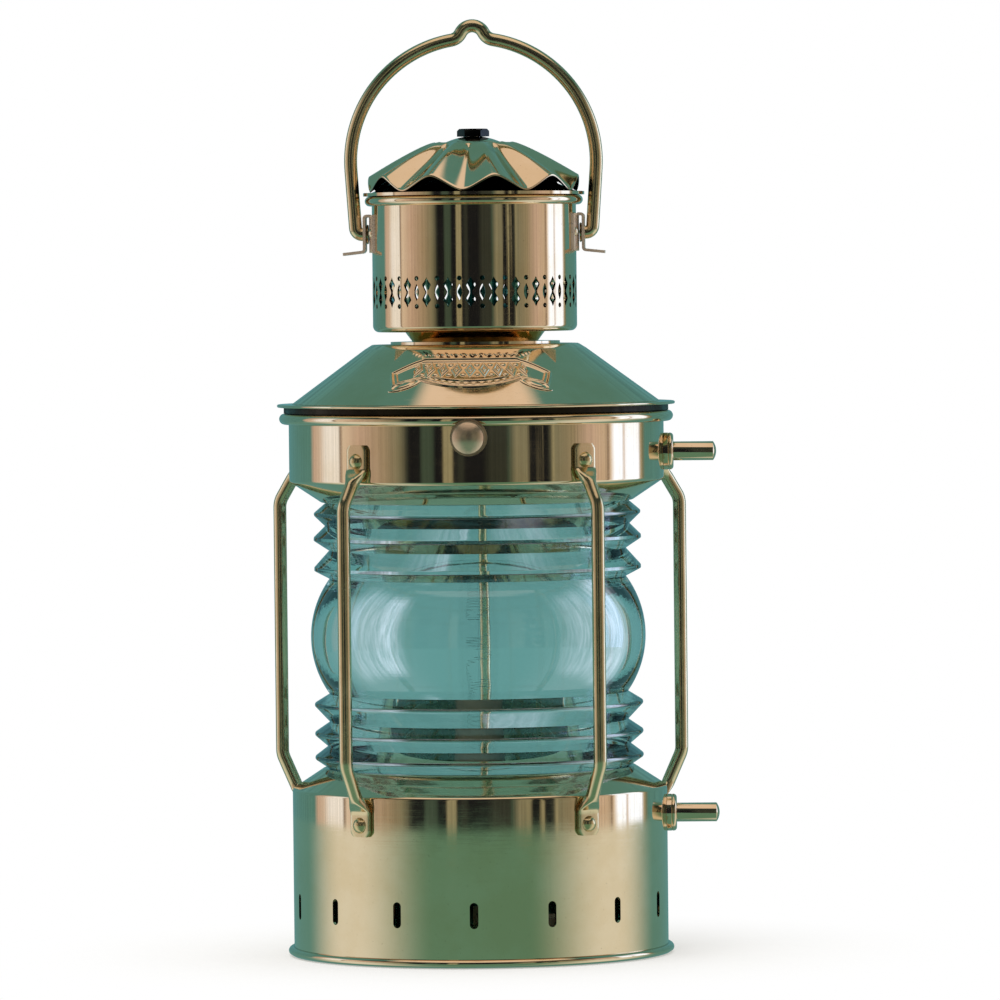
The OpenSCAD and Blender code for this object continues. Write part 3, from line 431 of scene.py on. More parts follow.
def section(node, azimuth=7.3, place=UPRIGHT):
    """Outline (radius, height) of a node's turned form, cut at one azimuth round place's Z axis."""
    bm = welded(node)
    bm.transform(place.inverted())
    corners = np.array([(math.hypot(v.co.x, v.co.y), v.co.z) for v in bm.verts])
    a = math.radians(azimuth)
    out = Vector((math.sin(a), -math.cos(a), 0))
    side = Vector((math.cos(a), math.sin(a), 0))
    cut = bmesh.ops.bisect_plane(bm, geom=bm.verts[:] + bm.edges[:] + bm.faces[:], dist=1e-7,
                                 plane_co=(0, 0, 0), plane_no=side)["geom_cut"]
    loops = walk_loops([e for e in cut if isinstance(e, bmesh.types.BMEdge)])
    loop = max(loops, key=lambda run: len(run) * on_side(run, out))
    points = [(v.co.dot(out), v.co.z) for v in loop]
    bm.free()
    return snapped(clipped(points), corners)


def on_side(run, out):
    """True if a run of vertices lies mostly on the side that out points to."""
    reach = [v.co.dot(out) for v in run]
    return max(reach) > 0 and sum(reach) > -ON_AXIS


def clipped(points):
    """The part of a closed outline on the positive side of the axis."""
    kept = []
    for p, q in zip(points, points[1:] + points[:1]):
        if p[0] >= -ON_AXIS:
            kept.append((max(p[0], 0.0), p[1]))
        if (p[0] < -ON_AXIS) != (q[0] < -ON_AXIS):
            share = p[0] / (p[0] - q[0])
            kept.append((0.0, p[1] + share * (q[1] - p[1])))
    return kept


def snapped(points, corners, reach=0.09 * MM, same=0.012 * MM):
    """The node's true corners in their order along an outline, without the ones on straight runs."""
    loop = np.array(points)
    span = np.roll(loop, -1, axis=0) - loop
    size = np.maximum(np.hypot(span[:, 0], span[:, 1]), 1e-12)
    start = np.concatenate([[0], np.cumsum(size)[:-1]])
    found = [(start[i], tuple(q)) for i, q in enumerate(points) if q[0] < ON_AXIS]
    for corner in np.unique(np.round(corners, 7), axis=0):
        share = np.clip(((corner - loop) * span).sum(1) / size ** 2, 0, 1)
        away = np.hypot(*(loop + span * share[:, None] - corner).T)
        i = away.argmin()
        if away[i] < reach:
            found.append((start[i] + share[i] * size[i], tuple(corner)))
    kept = []
    for _, q in sorted(found):
        if not kept or math.dist(q, kept[-1]) > same:
            kept.append(q)
    if math.dist(kept[0], kept[-1]) < same:
        kept.pop()
    return [q for p, q, r in zip(kept[-1:] + kept, kept, kept[1:] + kept[:1]) if bent(p, q, r)]


def bent(p, q, r):
    """True unless q lies on the straight line from p to r."""
    off_line = 0.0006 * MM
    cross = (q[0] - p[0]) * (r[1] - p[1]) - (q[1] - p[1]) * (r[0] - p[0])
    return abs(cross) > off_line * math.dist(p, r)


def hermite(a, b, leave, arrive, u):
    """The point at share u of a curve from a to b that leaves along leave and arrives along arrive."""
    return (a * (2 * u ** 3 - 3 * u * u + 1) + leave * (u ** 3 - 2 * u * u + u)
            + b * (3 * u * u - 2 * u ** 3) + arrive * (u ** 3 - u * u))


def refined(points, step_deg=6, hold=0.3 * MM):
    """Rounds the smooth runs of a closed outline and holds the ends of its straight runs."""
    p = [Vector(q) for q in points]
    n = len(p)
    span = [p[(i + 1) % n] - p[i] for i in range(n)]
    way = [s.normalized() for s in span]
    leave, arrive = [], []
    for i in range(n):
        turn = way[i - 1].angle(way[i], 0)
        if turn < math.radians(SHARP_DEG) and p[i].x > ON_AXIS:
            t = (span[i - 1] + span[i]).normalized()
            leave.append(t)
            arrive.append(t)
        else:
            leave.append(way[i])
            arrive.append(way[i - 1])
    out = []
    for i in range(n):
        a, b, t0, t1 = p[i], p[(i + 1) % n], leave[i], arrive[(i + 1) % n]
        size = span[i].length
        bend = math.degrees(t0.angle(way[i], 0) + way[i].angle(t1, 0))
        count = max(1, math.ceil(bend / step_deg))
        out.append(a)
        if count == 1 and size > 4 * hold:
            out.append(a + way[i] * hold)
            out.append(b - way[i] * hold)
        out += [hermite(a, b, t0 * size, t1 * size, k / count) for k in range(1, count)]
    return out


def turned_mesh(outline, steps=TURN_STEPS, place=UPRIGHT):
    """Vertices and faces of an outline turned round place's Z axis."""
    verts, faces, rows = [], [], []
    for q in outline:
        if q[0] < ON_AXIS:
            rows.append([len(verts)])
            verts.append(place @ Vector((0, 0, q[1])))
            continue
        rows.append(list(range(len(verts), len(verts) + steps)))
        for k in range(steps):
            a = 2 * math.pi * k / steps
            verts.append(place @ Vector((q[0] * math.sin(a), -q[0] * math.cos(a), q[1])))
    for a, b in zip(rows, rows[1:] + rows[:1]):
        for k in range(steps):
            m = (k + 1) % steps
            if len(a) > 1 and len(b) > 1:
                faces.append((a[k], a[m], b[m], b[k]))
            elif len(a) > 1:
                faces.append((a[k], a[m], b[0]))
            elif len(b) > 1:
                faces.append((a[0], b[m], b[k]))
    return verts, faces


def turned(node, azimuth=7.3, place=UPRIGHT, steps=TURN_STEPS):
    """A finer and rounder mesh of a turned CAD node."""
    verts, faces = turned_mesh(refined(section(node, azimuth, place)), steps, place)
    return piece(node + "_fine", verts, faces, [node])


def extruded(outline, place, depth):
    """A prism from a counter-clockwise outline in place's XY plane."""
    n = len(outline)
    verts = [place @ Vector((x, y, z)) for z in (0, depth) for x, y in outline]
    faces = [tuple(range(n))[::-1], tuple(range(n, 2 * n))]
    faces += [(i, (i + 1) % n, (i + 1) % n + n, i + n) for i in range(n)]
    return verts, faces


def pierced(obj, cutters):
    """Cuts closed shapes out of a piece."""
    verts, faces = merged(cutters)
    mesh = bpy.data.meshes.new("cutter")
    mesh.from_pydata([tuple(v) for v in verts], [], faces)
    cutter = bpy.data.objects.new("cutter", mesh)
    bpy.context.scene.collection.objects.link(cutter)
    modifier = obj.modifiers.new("cut", "BOOLEAN")
    modifier.operation = "DIFFERENCE"
    modifier.solver = "EXACT"
    modifier.object = cutter
    baked = bpy.data.meshes.new_from_object(obj.evaluated_get(bpy.context.evaluated_depsgraph_get()))
    obj.modifiers.clear()
    bpy.data.objects.remove(cutter)
    obj.data = baked
    baked.shade_smooth()
    baked.set_sharp_from_angle(angle=math.radians(SHARP_DEG))
    return obj


def sweep(path, shape, side):
    """A closed tube along a path; shape(i) gives the section at point i in the (side, up) plane."""
    last = len(path) - 1
    verts, faces, rows = [], [], []
    for i, q in enumerate(path):
        way = (path[min(i + 1, last)] - path[max(i - 1, 0)]).normalized()
        side = (side - way * side.dot(way)).normalized()
        up = way.cross(side)
        ring = [q + side * x + up * y for x, y in shape(i)]
        rows.append(range(len(verts), len(verts) + len(ring)))
        verts += ring
    for a, b in zip(rows, rows[1:]):
        m = len(a)
        faces += [(a[k], a[(k + 1) % m], b[(k + 1) % m], b[k]) for k in range(m)]
    faces += [tuple(rows[0])[::-1], tuple(rows[-1])]
    return verts, faces


def placed(azimuth_deg, distance, height):
    """Frame on a wall: X along the wall, Y up, Z outwards."""
    a = math.radians(azimuth_deg)
    out = Vector((math.sin(a), -math.cos(a), 0))
    along = Vector((math.cos(a), math.sin(a), 0))
    m = Matrix((along, Vector((0, 0, 1)), out)).transposed().to_4x4()
    m.translation = out * distance + Vector((0, 0, height))
    return m


def merged(parts):
    """Several meshes as one list of vertices and one of faces."""
    verts, faces = [], []
    for v, f in parts:
        faces += [tuple(i + len(verts) for i in face) for face in f]
        verts += v
    return verts, faces


def circle(radius, steps):
    return [(radius * math.cos(2 * math.pi * k / steps), radius * math.sin(2 * math.pi * k / steps))
            for k in range(steps)]


def round_tube(path, radius, steps, side):
    ring = circle(radius, steps)
    return sweep(path, lambda i: ring, side)


# ---------- shells ----------

def slot_outline(w, h, steps=10):
    """An upright slot with round ends."""
    reach = h / 2 - w / 2
    top = [(w / 2 * math.cos(math.pi * k / steps), reach + w / 2 * math.sin(math.pi * k / steps))
           for k in range(steps + 1)]
    return top + [(-x, -y) for x, y in top]


def base_vents():
    """Cutters for the air slots round the foot of the base."""
    count = 15
    outline = slot_outline(3.3 * MM, 10 * MM)
    mid_z = 19.9 * MM
    start = 66 * MM
    depth = 14 * MM
    return [extruded(outline, placed(i * 360 / count, start, mid_z), depth) for i in range(count)]


def curved(points, per=6):
    """Closed outline through the points, smooth where it isn't a tip; a tip is (x, y, 1)."""
    n = len(points)
    out = []
    for i in range(n):
        p0, p1, p2, p3 = (Vector(points[(i + k) % n][:2]) for k in (-1, 0, 1, 2))
        m1 = (p2 - p0) / 2 if len(points[i]) == 2 else (p2 - p1)
        m2 = (p3 - p1) / 2 if len(points[(i + 1) % n]) == 2 else (p2 - p1)
        out += [tuple(hermite(p1, p2, m1, m2, k / per)) for k in range(per)]
    return out


def gallery_cuts():
    """Cutters for the pierced gallery: vases, with an almond and two dots between them, in mm."""
    count = 28
    low = 252
    tall = 11.7
    mid = low + tall / 2
    start = 36.8 * MM
    depth = 5 * MM
    dot_lift = 5.4
    vase = [(0, -tall / 2, 1), (0.95, -4.2), (1.85, -3.0), (1.35, -1.7), (0.55, 0), (1.35, 1.7),
            (1.85, 3.0), (0.95, 4.2), (0, tall / 2, 1), (-0.95, 4.2), (-1.85, 3.0), (-1.35, 1.7),
            (-0.55, 0), (-1.35, -1.7), (-1.85, -3.0), (-0.95, -4.2)]
    almond = [(0, -3.3, 1), (0.85, -1.5), (1.05, 0), (0.85, 1.5), (0, 3.3, 1), (-0.85, 1.5),
              (-1.05, 0), (-0.85, -1.5)]
    dot = circle(0.95, 16)
    rows = [(curved(vase), 0, 0), (curved(almond), 0.5, 0), (dot, 0.5, dot_lift), (dot, 0.5, -dot_lift)]
    cuts = []
    for i in range(count):
        for outline, shift, lift in rows:
            shape = [(x * MM, y * MM) for x, y in outline]
            place = placed((i + shift) * 360 / count, start, (mid + lift) * MM)
            cuts.append(extruded(shape, place, depth))
    return cuts


# ---------- cap ----------

def ridge(distance, width):
    """A soft ridge, 1 on its crest."""
    return np.exp(-(distance / width) ** 2)


def cap_drop(t, a):
    """Fall of the cap's top face at share t from its flat crown to its rim, folds and all."""
    cone = 15.6 * MM
    flute = 2.75 * MM
    folds = 10
    first_fold = math.radians(-4)
    crisp = 0.8
    phase = np.cos(folds * (a - first_fold))
    fold = np.arcsin(crisp * phase) / math.asin(crisp)
    notch = 0.8 * MM * ridge(t - 0.07, 0.045) * np.clip(phase, 0, 1) ** 8
    return cone * t ** 1.12 + flute * t ** 0.5 * fold + notch


def fluted_cap():
    """The spun cap: a shallow cone whose pinched folds deepen towards the rim."""
    low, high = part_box("fluted_cap")
    rim_r = (high.x - low.x) / 2
    crown_r = 14.6 * MM
    bore_r = 3.3 * MM
    thick = 0.9 * MM
    steps = 480
    angle = np.arange(steps) * 2 * math.pi / steps
    crown = [bore_r, 3.6 * MM, 9 * MM, crown_r - 0.8 * MM]
    rows = []
    for r in np.concatenate([crown, np.linspace(crown_r - 0.2 * MM, rim_r, 34)]):
        t = np.clip((r - crown_r) / (rim_r - crown_r), 0, 1)
        z = high.z - cap_drop(t, angle)
        rows.append(np.column_stack([r * np.sin(angle), -r * np.cos(angle), z]))
    rim = rows[-1]
    lip = rim * np.array([1.004, 1.004, 1]) - np.array([0, 0, thick / 2])
    under = [row - np.array([0, 0, thick]) for row in rows[::-1]]
    rows = rows + [lip] + under
    verts = np.concatenate(rows)
    faces = []
    n = len(rows)
    for i in range(n):
        a, b = i * steps, ((i + 1) % n) * steps
        faces += [(a + k, a + (k + 1) % steps, b + (k + 1) % steps, b + k) for k in range(steps)]
    return piece("fluted_cap_fine", verts, faces, ["fluted_cap"], 50)


# ---------- scroll ----------

def scroll_height(u, v):
    """Relief of the banner in mm over the roof: u runs round the roof and v up its slope."""
    side = np.abs(u)
    top = 12.2 - 10.2 * (np.maximum(side - 20, 0) / 14) ** 1.6
    low = np.where(side < 19, -7.3 + 4.7 * (side / 19) ** 2, -2.6 - 0.42 * (side - 19))
    slant = ((34 - side) * 8.8 - (2 - v) * 5) / 10.12
    inside = np.minimum((top - v) * np.where(side > 22, 0.78, 1), np.minimum(v - low, slant))
    height = 0.3 / (1 + np.exp(-inside / 0.18))
    height += 0.8 * ridge(inside - 0.9, 0.62) + 0.45 * ridge(inside - 2.6, 0.38)
    hem = (side < 20) * (v < 0)
    height += hem * 0.75 * ridge(v - low - 4.7, 0.45)
    height -= hem * 0.5 * ridge(v - low - 3.2, 0.5) * (0.5 + 0.5 * np.cos(u * 2 * math.pi / 2.9))
    height = np.maximum(height, field_pattern(u, v))
    height = np.maximum(height, end_curl(side - 24, v + 5.4))
    rope = 0.7 * ridge(v - 14.1, 0.75) * (side < 23)
    rope *= 0.6 + 0.4 * np.cos((u + 0.8 * v) * 2 * math.pi / 2.3)
    leaf = 0.8 * ridge(v - 13.4 - 0.3 * (side - 24), 1.1) * ridge(side - 27, 3.6)
    leaf *= 0.6 + 0.4 * np.cos((side + 0.4 * v) * 2 * math.pi / 2.4)
    return np.maximum(height, np.maximum(rope, leaf)) - 0.22


def field_pattern(u, v):
    """A row of lozenges with pairs of beads between them, in the banner's field."""
    pitch = 5.6
    cell = np.mod(u + pitch / 2, pitch) - pitch / 2
    between = np.mod(u, pitch) - pitch / 2
    mid = 4.5
    q = np.abs(cell) / 2.2 + np.abs(v - mid) / 4.6
    lozenge = 0.95 / (1 + np.exp((q - 1) / 0.07)) - 0.6 * ridge(q - 0.5, 0.16)
    bead_r = np.hypot(between, np.abs(v - mid) - 3.0)
    bead = 0.9 * np.sqrt(np.clip(1 - (bead_r / 1.15) ** 2, 0, 1))
    return np.maximum(lozenge, bead) * (np.abs(u) < 23.6)


def end_curl(across, up):
    """The rolled end of the ribbon, tilted up towards the middle."""
    tilt = math.radians(35)
    x = up * math.sin(tilt) - across * math.cos(tilt)
    y = across * math.sin(tilt) + up * math.cos(tilt)
    q = np.hypot(x / 6.6, y / 2.7)
    roll = 1.15 * np.sqrt(np.clip(1 - q ** 4, 0, 1)) - 0.55 * ridge(q - 0.58, 0.15)
    return np.where(q < 1, roll, -1)


def scroll():
    """The banner as a thin plate bent round the roof, with its relief on the outer face."""
    roof_foot = Vector((71.4, 215.0)) * MM
    roof_top = Vector((43.2, 235.7)) * MM
    centre = Vector((57.3, 225.35)) * MM
    deepest, highest = -0.35, 1.2
    stretch = 0.75 * MM
    sunk = 0.5 * MM
    up = (roof_top - roof_foot).normalized()
    out = Vector((up.y, -up.x))
    us = np.linspace(-36, 36, 470)
    vs = np.linspace(-12.4, 16.6, 190)
    uu, vv = np.meshgrid(us, vs)
    relief = np.clip(scroll_height(uu, vv), deepest, highest) * stretch
    radius = centre.x + up.x * vv * MM
    height = centre.y + up.y * vv * MM
    azimuth = uu * MM / centre.x
    r_top = radius + out.x * relief
    z_top = height + out.y * relief
    r_low = radius - out.x * sunk
    z_low = height - out.y * sunk
    verts = np.concatenate([
        np.column_stack([(r * np.sin(azimuth)).ravel(), (-r * np.cos(azimuth)).ravel(), z.ravel()])
        for r, z in ((r_top, z_top), (r_low, z_low))])
    cols, rows = len(us), len(vs)
    half = cols * rows
    faces = []
    for j in range(rows - 1):
        for i in range(cols - 1):
            a = j * cols + i
            faces.append((a, a + 1, a + 1 + cols, a + cols))
            faces.append((a + half, a + cols + half, a + 1 + cols + half, a + 1 + half))
    edge = ([(0, i) for i in range(cols)] + [(j, cols - 1) for j in range(1, rows)]
            + [(rows - 1, i) for i in range(cols - 2, -1, -1)] + [(j, 0) for j in range(rows - 2, 0, -1)])
    ring = [j * cols + i for j, i in edge]
    faces += [(a, a + half, b + half, b) for a, b in zip(ring, ring[1:] + ring[:1])]
    return piece("scroll_relief", verts, faces, ["scroll_plate"], 80)


# ---------- rods ----------

ROD_R = 2.55 * MM


def fillet(corners, radius, step_deg=4):
    """A path with its corners rounded; radius is one number per inner corner."""
    out = [Vector(corners[0])]
    for i in range(1, len(corners) - 1):
        a, b, c = (Vector(corners[i + k]) for k in (-1, 0, 1))
        u, w = (a - b).normalized(), (c - b).normalized()
        open_angle = u.angle(w)
        turn = math.pi - open_angle
        r = radius[i - 1]
        start = b + u * (r * math.tan(turn / 2))
        centre = b + (u + w).normalized() * (r / math.cos(turn / 2))
        count = max(2, math.ceil(math.degrees(turn) / step_deg))
        axis = (-u).cross(w).normalized()
        for k in range(count + 1):
            out.append(centre + Matrix.Rotation(turn * k / count, 3, axis) @ (start - centre))
    out.append(Vector(corners[-1]))
    return out


def spaced(path, gap):
    """The path with points added so that none are further apart than gap."""
    out = [path[0]]
    for a, b in zip(path, path[1:]):
        count = max(1, math.ceil((b - a).length / gap))
        out += [a.lerp(b, k / count) for k in range(1, count + 1)]
    return out


def blend_outline(share, round_r, flat_w, flat_t, steps=40):
    """From a round section (share 0) to a flat bar with rounded corners (share 1)."""
    power = 2 + 5 * share
    half_w = round_r + (flat_w / 2 - round_r) * share
    half_t = round_r + (flat_t / 2 - round_r) * share
    out = []
    for k in range(steps):
        a = 2 * math.pi * k / steps
        c, s = math.cos(a), math.sin(a)
        size = (abs(c) ** power + abs(s) ** power) ** (-1 / power)
        out.append((half_w * c * size, half_t * s * size))
    return out


def guard(node, azimuth):
    """A drawn rod with both ends forged flat into tabs with clipped corners."""
    wall = 73.12 * MM
    flat_w = 9.2 * MM
    flat_t = 1.8 * MM
    flat_tall = 9.6 * MM
    forged = 6.0 * MM
    clip = 1.4 * MM
    tab = wall + flat_t / 2
    knee = wall + ROD_R + 1.0 * MM
    reach = 82.7 * MM
    top, foot = 199.6 * MM, 49.5 * MM
    corners = [(tab, top), (tab, 190.4 * MM), (knee, 186.0 * MM), (reach, 176.0 * MM),
               (reach, 76.6 * MM), (knee, 63.6 * MM), (tab, 59.0 * MM), (tab, foot)]
    bends = [4 * MM, 5 * MM, 8 * MM, 8 * MM, 5 * MM, 4 * MM]
    path = spaced(fillet([Vector((0, -r, z)) for r, z in corners], bends), 0.9 * MM)

    def shape(i):
        depth = min(top - path[i].z, path[i].z - foot)
        share = 1 - np.clip((depth - flat_tall) / forged, 0, 1)
        outline = blend_outline(share * share * (3 - 2 * share), ROD_R, flat_w, flat_t)
        narrow = 1 - max(0.0, clip - depth) / (flat_w / 2)
        return [(x * narrow, y) for x, y in outline]

    verts, faces = sweep(path, shape, Vector((1, 0, 0)))
    turn = Matrix.Rotation(math.radians(azimuth), 4, "Z")
    return piece(node + "_rod", [turn @ v for v in verts], faces, [node])


def circle_arc(centre, radius, start, end, step_deg=2.5):
    count = max(2, math.ceil(abs(end - start) / step_deg))
    out = []
    for k in range(count + 1):
        a = math.radians(start + (end - start) * k / count)
        out.append(Vector((centre[0] + radius * math.cos(a), 0, centre[1] + radius * math.sin(a))))
    return out


def bail():
    """The swinging bail: two headed pivots, leaning legs, a round arch and its kinked crown."""
    pivot_z = next(j for j in frame["joints"] if j["name"] == "bail_pivot")["pos_m"][2]
    elbow_x = 46.1 * MM
    arch_r = 47.9 * MM
    arch_z = 308.7 * MM
    crown_r = 5 * MM
    rise = arch_r - 0.2 * MM
    reach = arch_r + crown_r
    up = (reach ** 2 - 4 * crown_r ** 2 + rise ** 2) / (2 * rise)
    away = math.sqrt(reach ** 2 - up ** 2)
    arch_end = math.degrees(math.atan2(up, away))
    crown_end = math.degrees(math.atan2(up - rise, away))
    dx, dz = elbow_x, pivot_z - arch_z
    far = math.hypot(dx, dz)
    touch = math.degrees(math.atan2(dz, dx) + math.acos(arch_r / far))
    head_x = 41.2 * MM
    first = fillet([(head_x, 0, pivot_z), (elbow_x, 0, pivot_z),
                    (arch_r * math.cos(math.radians(touch)), 0,
                     arch_z + arch_r * math.sin(math.radians(touch)))], [2.7 * MM], 8)
    side = first[:-1] + circle_arc((0, arch_z), arch_r, touch, arch_end)
    side += circle_arc((away, arch_z + up), crown_r, 180 + arch_end, 180 + crown_end, 8)[1:]
    crown = circle_arc((0, arch_z + rise), crown_r, crown_end, 180 - crown_end, 8)[1:-1]
    path = spaced(side + crown + [Vector((-q.x, 0, q.z)) for q in reversed(side)], 1.2 * MM)
    parts = [round_tube(path, ROD_R, 40, Vector((0, 1, 0)))]
    head = [(0, 41.12), (3.5, 41.12), (3.8, 41.35), (3.8, 41.7), (3.5, 41.93), (0, 41.93)]
    for s in (-1, 1):
        place = Matrix(((0, 0, s, 0), (0, 1, 0, 0), (-s, 0, 0, pivot_z), (0, 0, 0, 1)))
        parts.append(turned_mesh([(x * MM, y * MM) for x, y in head], 48, place))
    return piece("bail_rod", *merged(parts), ["bail"])


# ---------- coils and domes ----------

def helix(place, radius, rise, turns, per_turn):
    """Points of a coil round place's Z axis."""
    count = turns * per_turn
    return [place @ Vector((radius * math.cos(2 * math.pi * k / per_turn),
                            radius * math.sin(2 * math.pi * k / per_turn), rise * k / count))
            for k in range(count + 1)]


def filament():
    """A thin coil between its two leads, standing where the CAD's filament is."""
    low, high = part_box("bulb_filament")
    middle = (low + high) / 2
    coil_r = (high.x - low.x) / 2 - 0.3 * MM
    coil_tall = 11 * MM
    wire_r = 0.05 * MM
    top = high.z - wire_r
    foot = Matrix.Translation((middle.x, middle.y, top - coil_tall))
    path = [Vector((middle.x + coil_r, middle.y, low.z))]
    path += helix(foot, coil_r, coil_tall, 5, 28)
    path += [Vector((middle.x, middle.y, top)), Vector((middle.x, middle.y, low.z))]
    askew = Vector((0.3, 0.2, 0.93))
    return piece("bulb_filament_coil", *round_tube(path, wire_r, 10, askew), ["bulb_filament"])


def facing_front(at):
    """Frame at a point, with its Z axis towards the front."""
    return Matrix.Translation(at) @ Matrix.Rotation(math.radians(90), 4, "X")


def latch_spring():
    """One helix between the bolt's shoulder and the latch cap; it keeps its length as the knob is pulled.
    """
    low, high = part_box("latch_spring")
    middle = (low + high) / 2
    wire_r = 0.25 * MM
    tall = high.y - low.y
    start = facing_front((middle.x, high.y - wire_r, middle.z))
    path = helix(start, (high.x - low.x) / 2 - wire_r, tall - 2 * wire_r, 5, 32)
    coil = round_tube(path, wire_r, 12, Vector((0, 1, 0)))
    spring = piece("latch_spring_coil", *coil, ["latch_spring"])
    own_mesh(spring)


def dome_outline(base, height, sink, steps=12):
    """A dome of one radius on a short plug that sinks into the wall."""
    ball = (base * base + height * height) / (2 * height)
    half = math.asin(min(1, base / ball))
    arc = [(ball * math.sin(half * k / steps), height - ball + ball * math.cos(half * k / steps))
           for k in range(steps + 1)]
    return arc + [(base, -sink), (0, -sink)]


def rivets(node, height):
    """Five domed rivet heads round the wall, one on each guard."""
    face_r = 74.9 * MM
    outline = dome_outline(3.1 * MM, 2.1 * MM, 0.4 * MM)
    heads = [turned_mesh(outline, 40, placed(36 + 72 * i, face_r, height)) for i in range(5)]
    return piece(node + "_domes", *merged(heads), [node])


# ---------- everything else ----------

def eased(node, width):
    """A welded copy of a CAD node with its flat areas cleaned and its edges bevelled."""
    bm = welded(node)
    bmesh.ops.dissolve_limit(bm, angle_limit=math.radians(0.5), verts=bm.verts, edges=bm.edges,
                             delimit={"NORMAL"})
    mesh = bpy.data.meshes.new(node + "_eased")
    bm.to_mesh(mesh)
    bm.free()
    obj = finished(node + "_eased", mesh, [node])
    modifier = obj.modifiers.new("ease", "BEVEL")
    modifier.width = width
    modifier.segments = 2
    modifier.limit_method = "ANGLE"
    modifier.angle_limit = math.radians(40)
    modifier.harden_normals = True
    return obj


repainted(pierced(turned("base_shell", azimuth=12.0), base_vents()), SHELL_BRASS)
turned("upper_ring", azimuth=12.0)
turned("roof_cone")
# The roof skirt gets painted shade: near black.
repainted(turned("roof_skirt"), SKIRT_SHADE_BRASS)
turned("chimney_neck", steps=240)
repainted(pierced(turned("chimney_drum", azimuth=3.2, steps=360), gallery_cuts()), SHELL_BRASS)
repainted(turned("drum_lid", steps=240), LID_BRASS)
turned("cap_washer", steps=160)
turned("lens", steps=400)
turned("lens_gasket_lower", steps=200)
turned("lens_gasket_upper", steps=200)
turned("bulb_glass", steps=96)
knob_place = facing_front((0, 0, 202.5 * MM))
repainted(turned("latch_knob", azimuth=30, steps=128, place=knob_place), WORN_BRASS)
repainted(fluted_cap(), CAP_BRASS)
scroll()
guard("guard_front_left", -36)
guard("guard_front_right", 36)
guard("guard_side_left", -108)
guard("guard_side_right", 108)
guard("guard_rear", 180)
bail()
filament()
latch_spring()

repainted(rivets("guard_rivets_upper", 193.3 * MM), RIVET_BRASS)
repainted(rivets("guard_rivets_lower", 53.9 * MM), RIVET_BRASS)

# CAD nodes that keep their shape and get eased edges, with the width of the bevel.
EASED = {
    "cap_nut": 0.35 * MM, "ear_left": 0.2 * MM, "ear_right": 0.2 * MM, "hinge_base": 0.3 * MM,
    "hinge_leaf": 0.2 * MM, "stud_upper": 0.15 * MM, "stud_lower": 0.15 * MM,
    "cable_gland": 0.25 * MM, "terminal_block": 0.4 * MM,
}
for node_name, bevel_width in EASED.items():
    eased_part = eased(node_name, bevel_width)
    if node_name.startswith("ear_"):
        repainted(eased_part, EAR_BRASS)

for node_name, node_obj in NODES.items():
    if node_obj.hide_render:
        continue
    node_obj.data.materials.clear()
    node_obj.data.materials.append(MATERIALS[SLOT_OF[node_name]])


# ---------- studio ----------

WHITE = (1.35, 1.66, 2.4)
CREAM = (1.02, 1.1, 1.3)
SHELL = (0.85, 0.75, 0.68)
PEARL = (0.8, 0.72, 0.68)
BLUSH = (0.72, 0.64, 0.62)
SAND = (0.68, 0.58, 0.5)
PINK = (0.62, 0.5, 0.46)
STONE = (0.5, 0.45, 0.35)
KHAKI = (0.42, 0.36, 0.29)
GOLD = (0.34, 0.34, 0.24)
UMBER = (0.33, 0.3, 0.22)
BROWN = (0.25, 0.2, 0.17)
OLIVE = (0.24, 0.25, 0.19)
FERN = (0.2, 0.24, 0.18)
MOSS = (0.06, 0.1, 0.085)
DUSK = (0.04, 0.05, 0.045)
DARK = (0.012, 0.014, 0.018)
TEAL = (0.11, 0.3, 0.32)
BEHIND_GLASS = (0.165, 0.35, 0.345)

# The studio wall by direction from the viewer's side (0) round to behind the lantern (180).
MIDDLE = 4
WALL_LEFT = [
    (-180, TEAL), (-123, TEAL), (-119, PINK), (-112, BLUSH), (-106, CREAM), (-94, CREAM),
    (-92, BROWN), (-90, PEARL), (-76, PINK), (-60, KHAKI), (-48, OLIVE), (-43, DUSK),
    (-41, DARK), (-35, DARK), (-33, MOSS), (-27, MOSS), (-25, DARK), (-21, DARK), (-19.5, GOLD),
    (-15, GOLD), (-13.5, DARK), (-9, DUSK), (-6, DARK), (MIDDLE, DARK),
]
WALL_RIGHT = [
    (MIDDLE, DARK), (9, DUSK), (18, DUSK), (20, MOSS), (24, OLIVE), (31, OLIVE), (33, DARK),
    (44, DARK), (46, DUSK), (48, GOLD), (50, OLIVE), (62, UMBER), (74, PINK), (86, SAND),
    (89, BROWN), (90.5, SHELL), (94, WHITE), (101.5, WHITE), (103, PINK), (104.5, WHITE),
    (118, WHITE), (121, STONE), (124, FERN), (127, TEAL), (180, TEAL),
]

CEILING_LAMP = (0.82, 0.7, 0.62)
CEILING_SIDE = (0.1, 0.26, 0.26)
CEILING_FRONT = (0.03, 0.045, 0.04)
BELOW = (0.08, 0.12, 0.09)
SOFT_LOW = (0.75, 0.78, 0.78)
SOFT_HIGH = (1.05, 1.03, 1.0)
PAPER = (1.0, 1.0, 1.0)

TABLE_FRONT = (0.12, 0.27, 0.21)
TABLE_SIDE = (0.76, 0.8, 0.78)
TABLE_BACK = (0.12, 0.3, 0.3)


def ramp(g, degrees, start, span, stops):
    """Colour by direction through stops of (degrees, colour); a ramp holds 32 of them at most."""
    node = g.tree.nodes.new("ShaderNodeValToRGB")
    share = g.math("DIVIDE", g.math("SUBTRACT", degrees, float(start)), float(span))
    g.tree.links.new(share, node.inputs[0])
    bar = node.color_ramp.elements
    while len(bar) > 1:
        bar.remove(bar[-1])
    bar[0].position = (stops[0][0] - start) / span
    bar[0].color = stops[0][1] + (1,)
    for stop, colour in stops[1:]:
        bar.new((stop - start) / span).color = colour + (1,)
    return node.outputs[0]


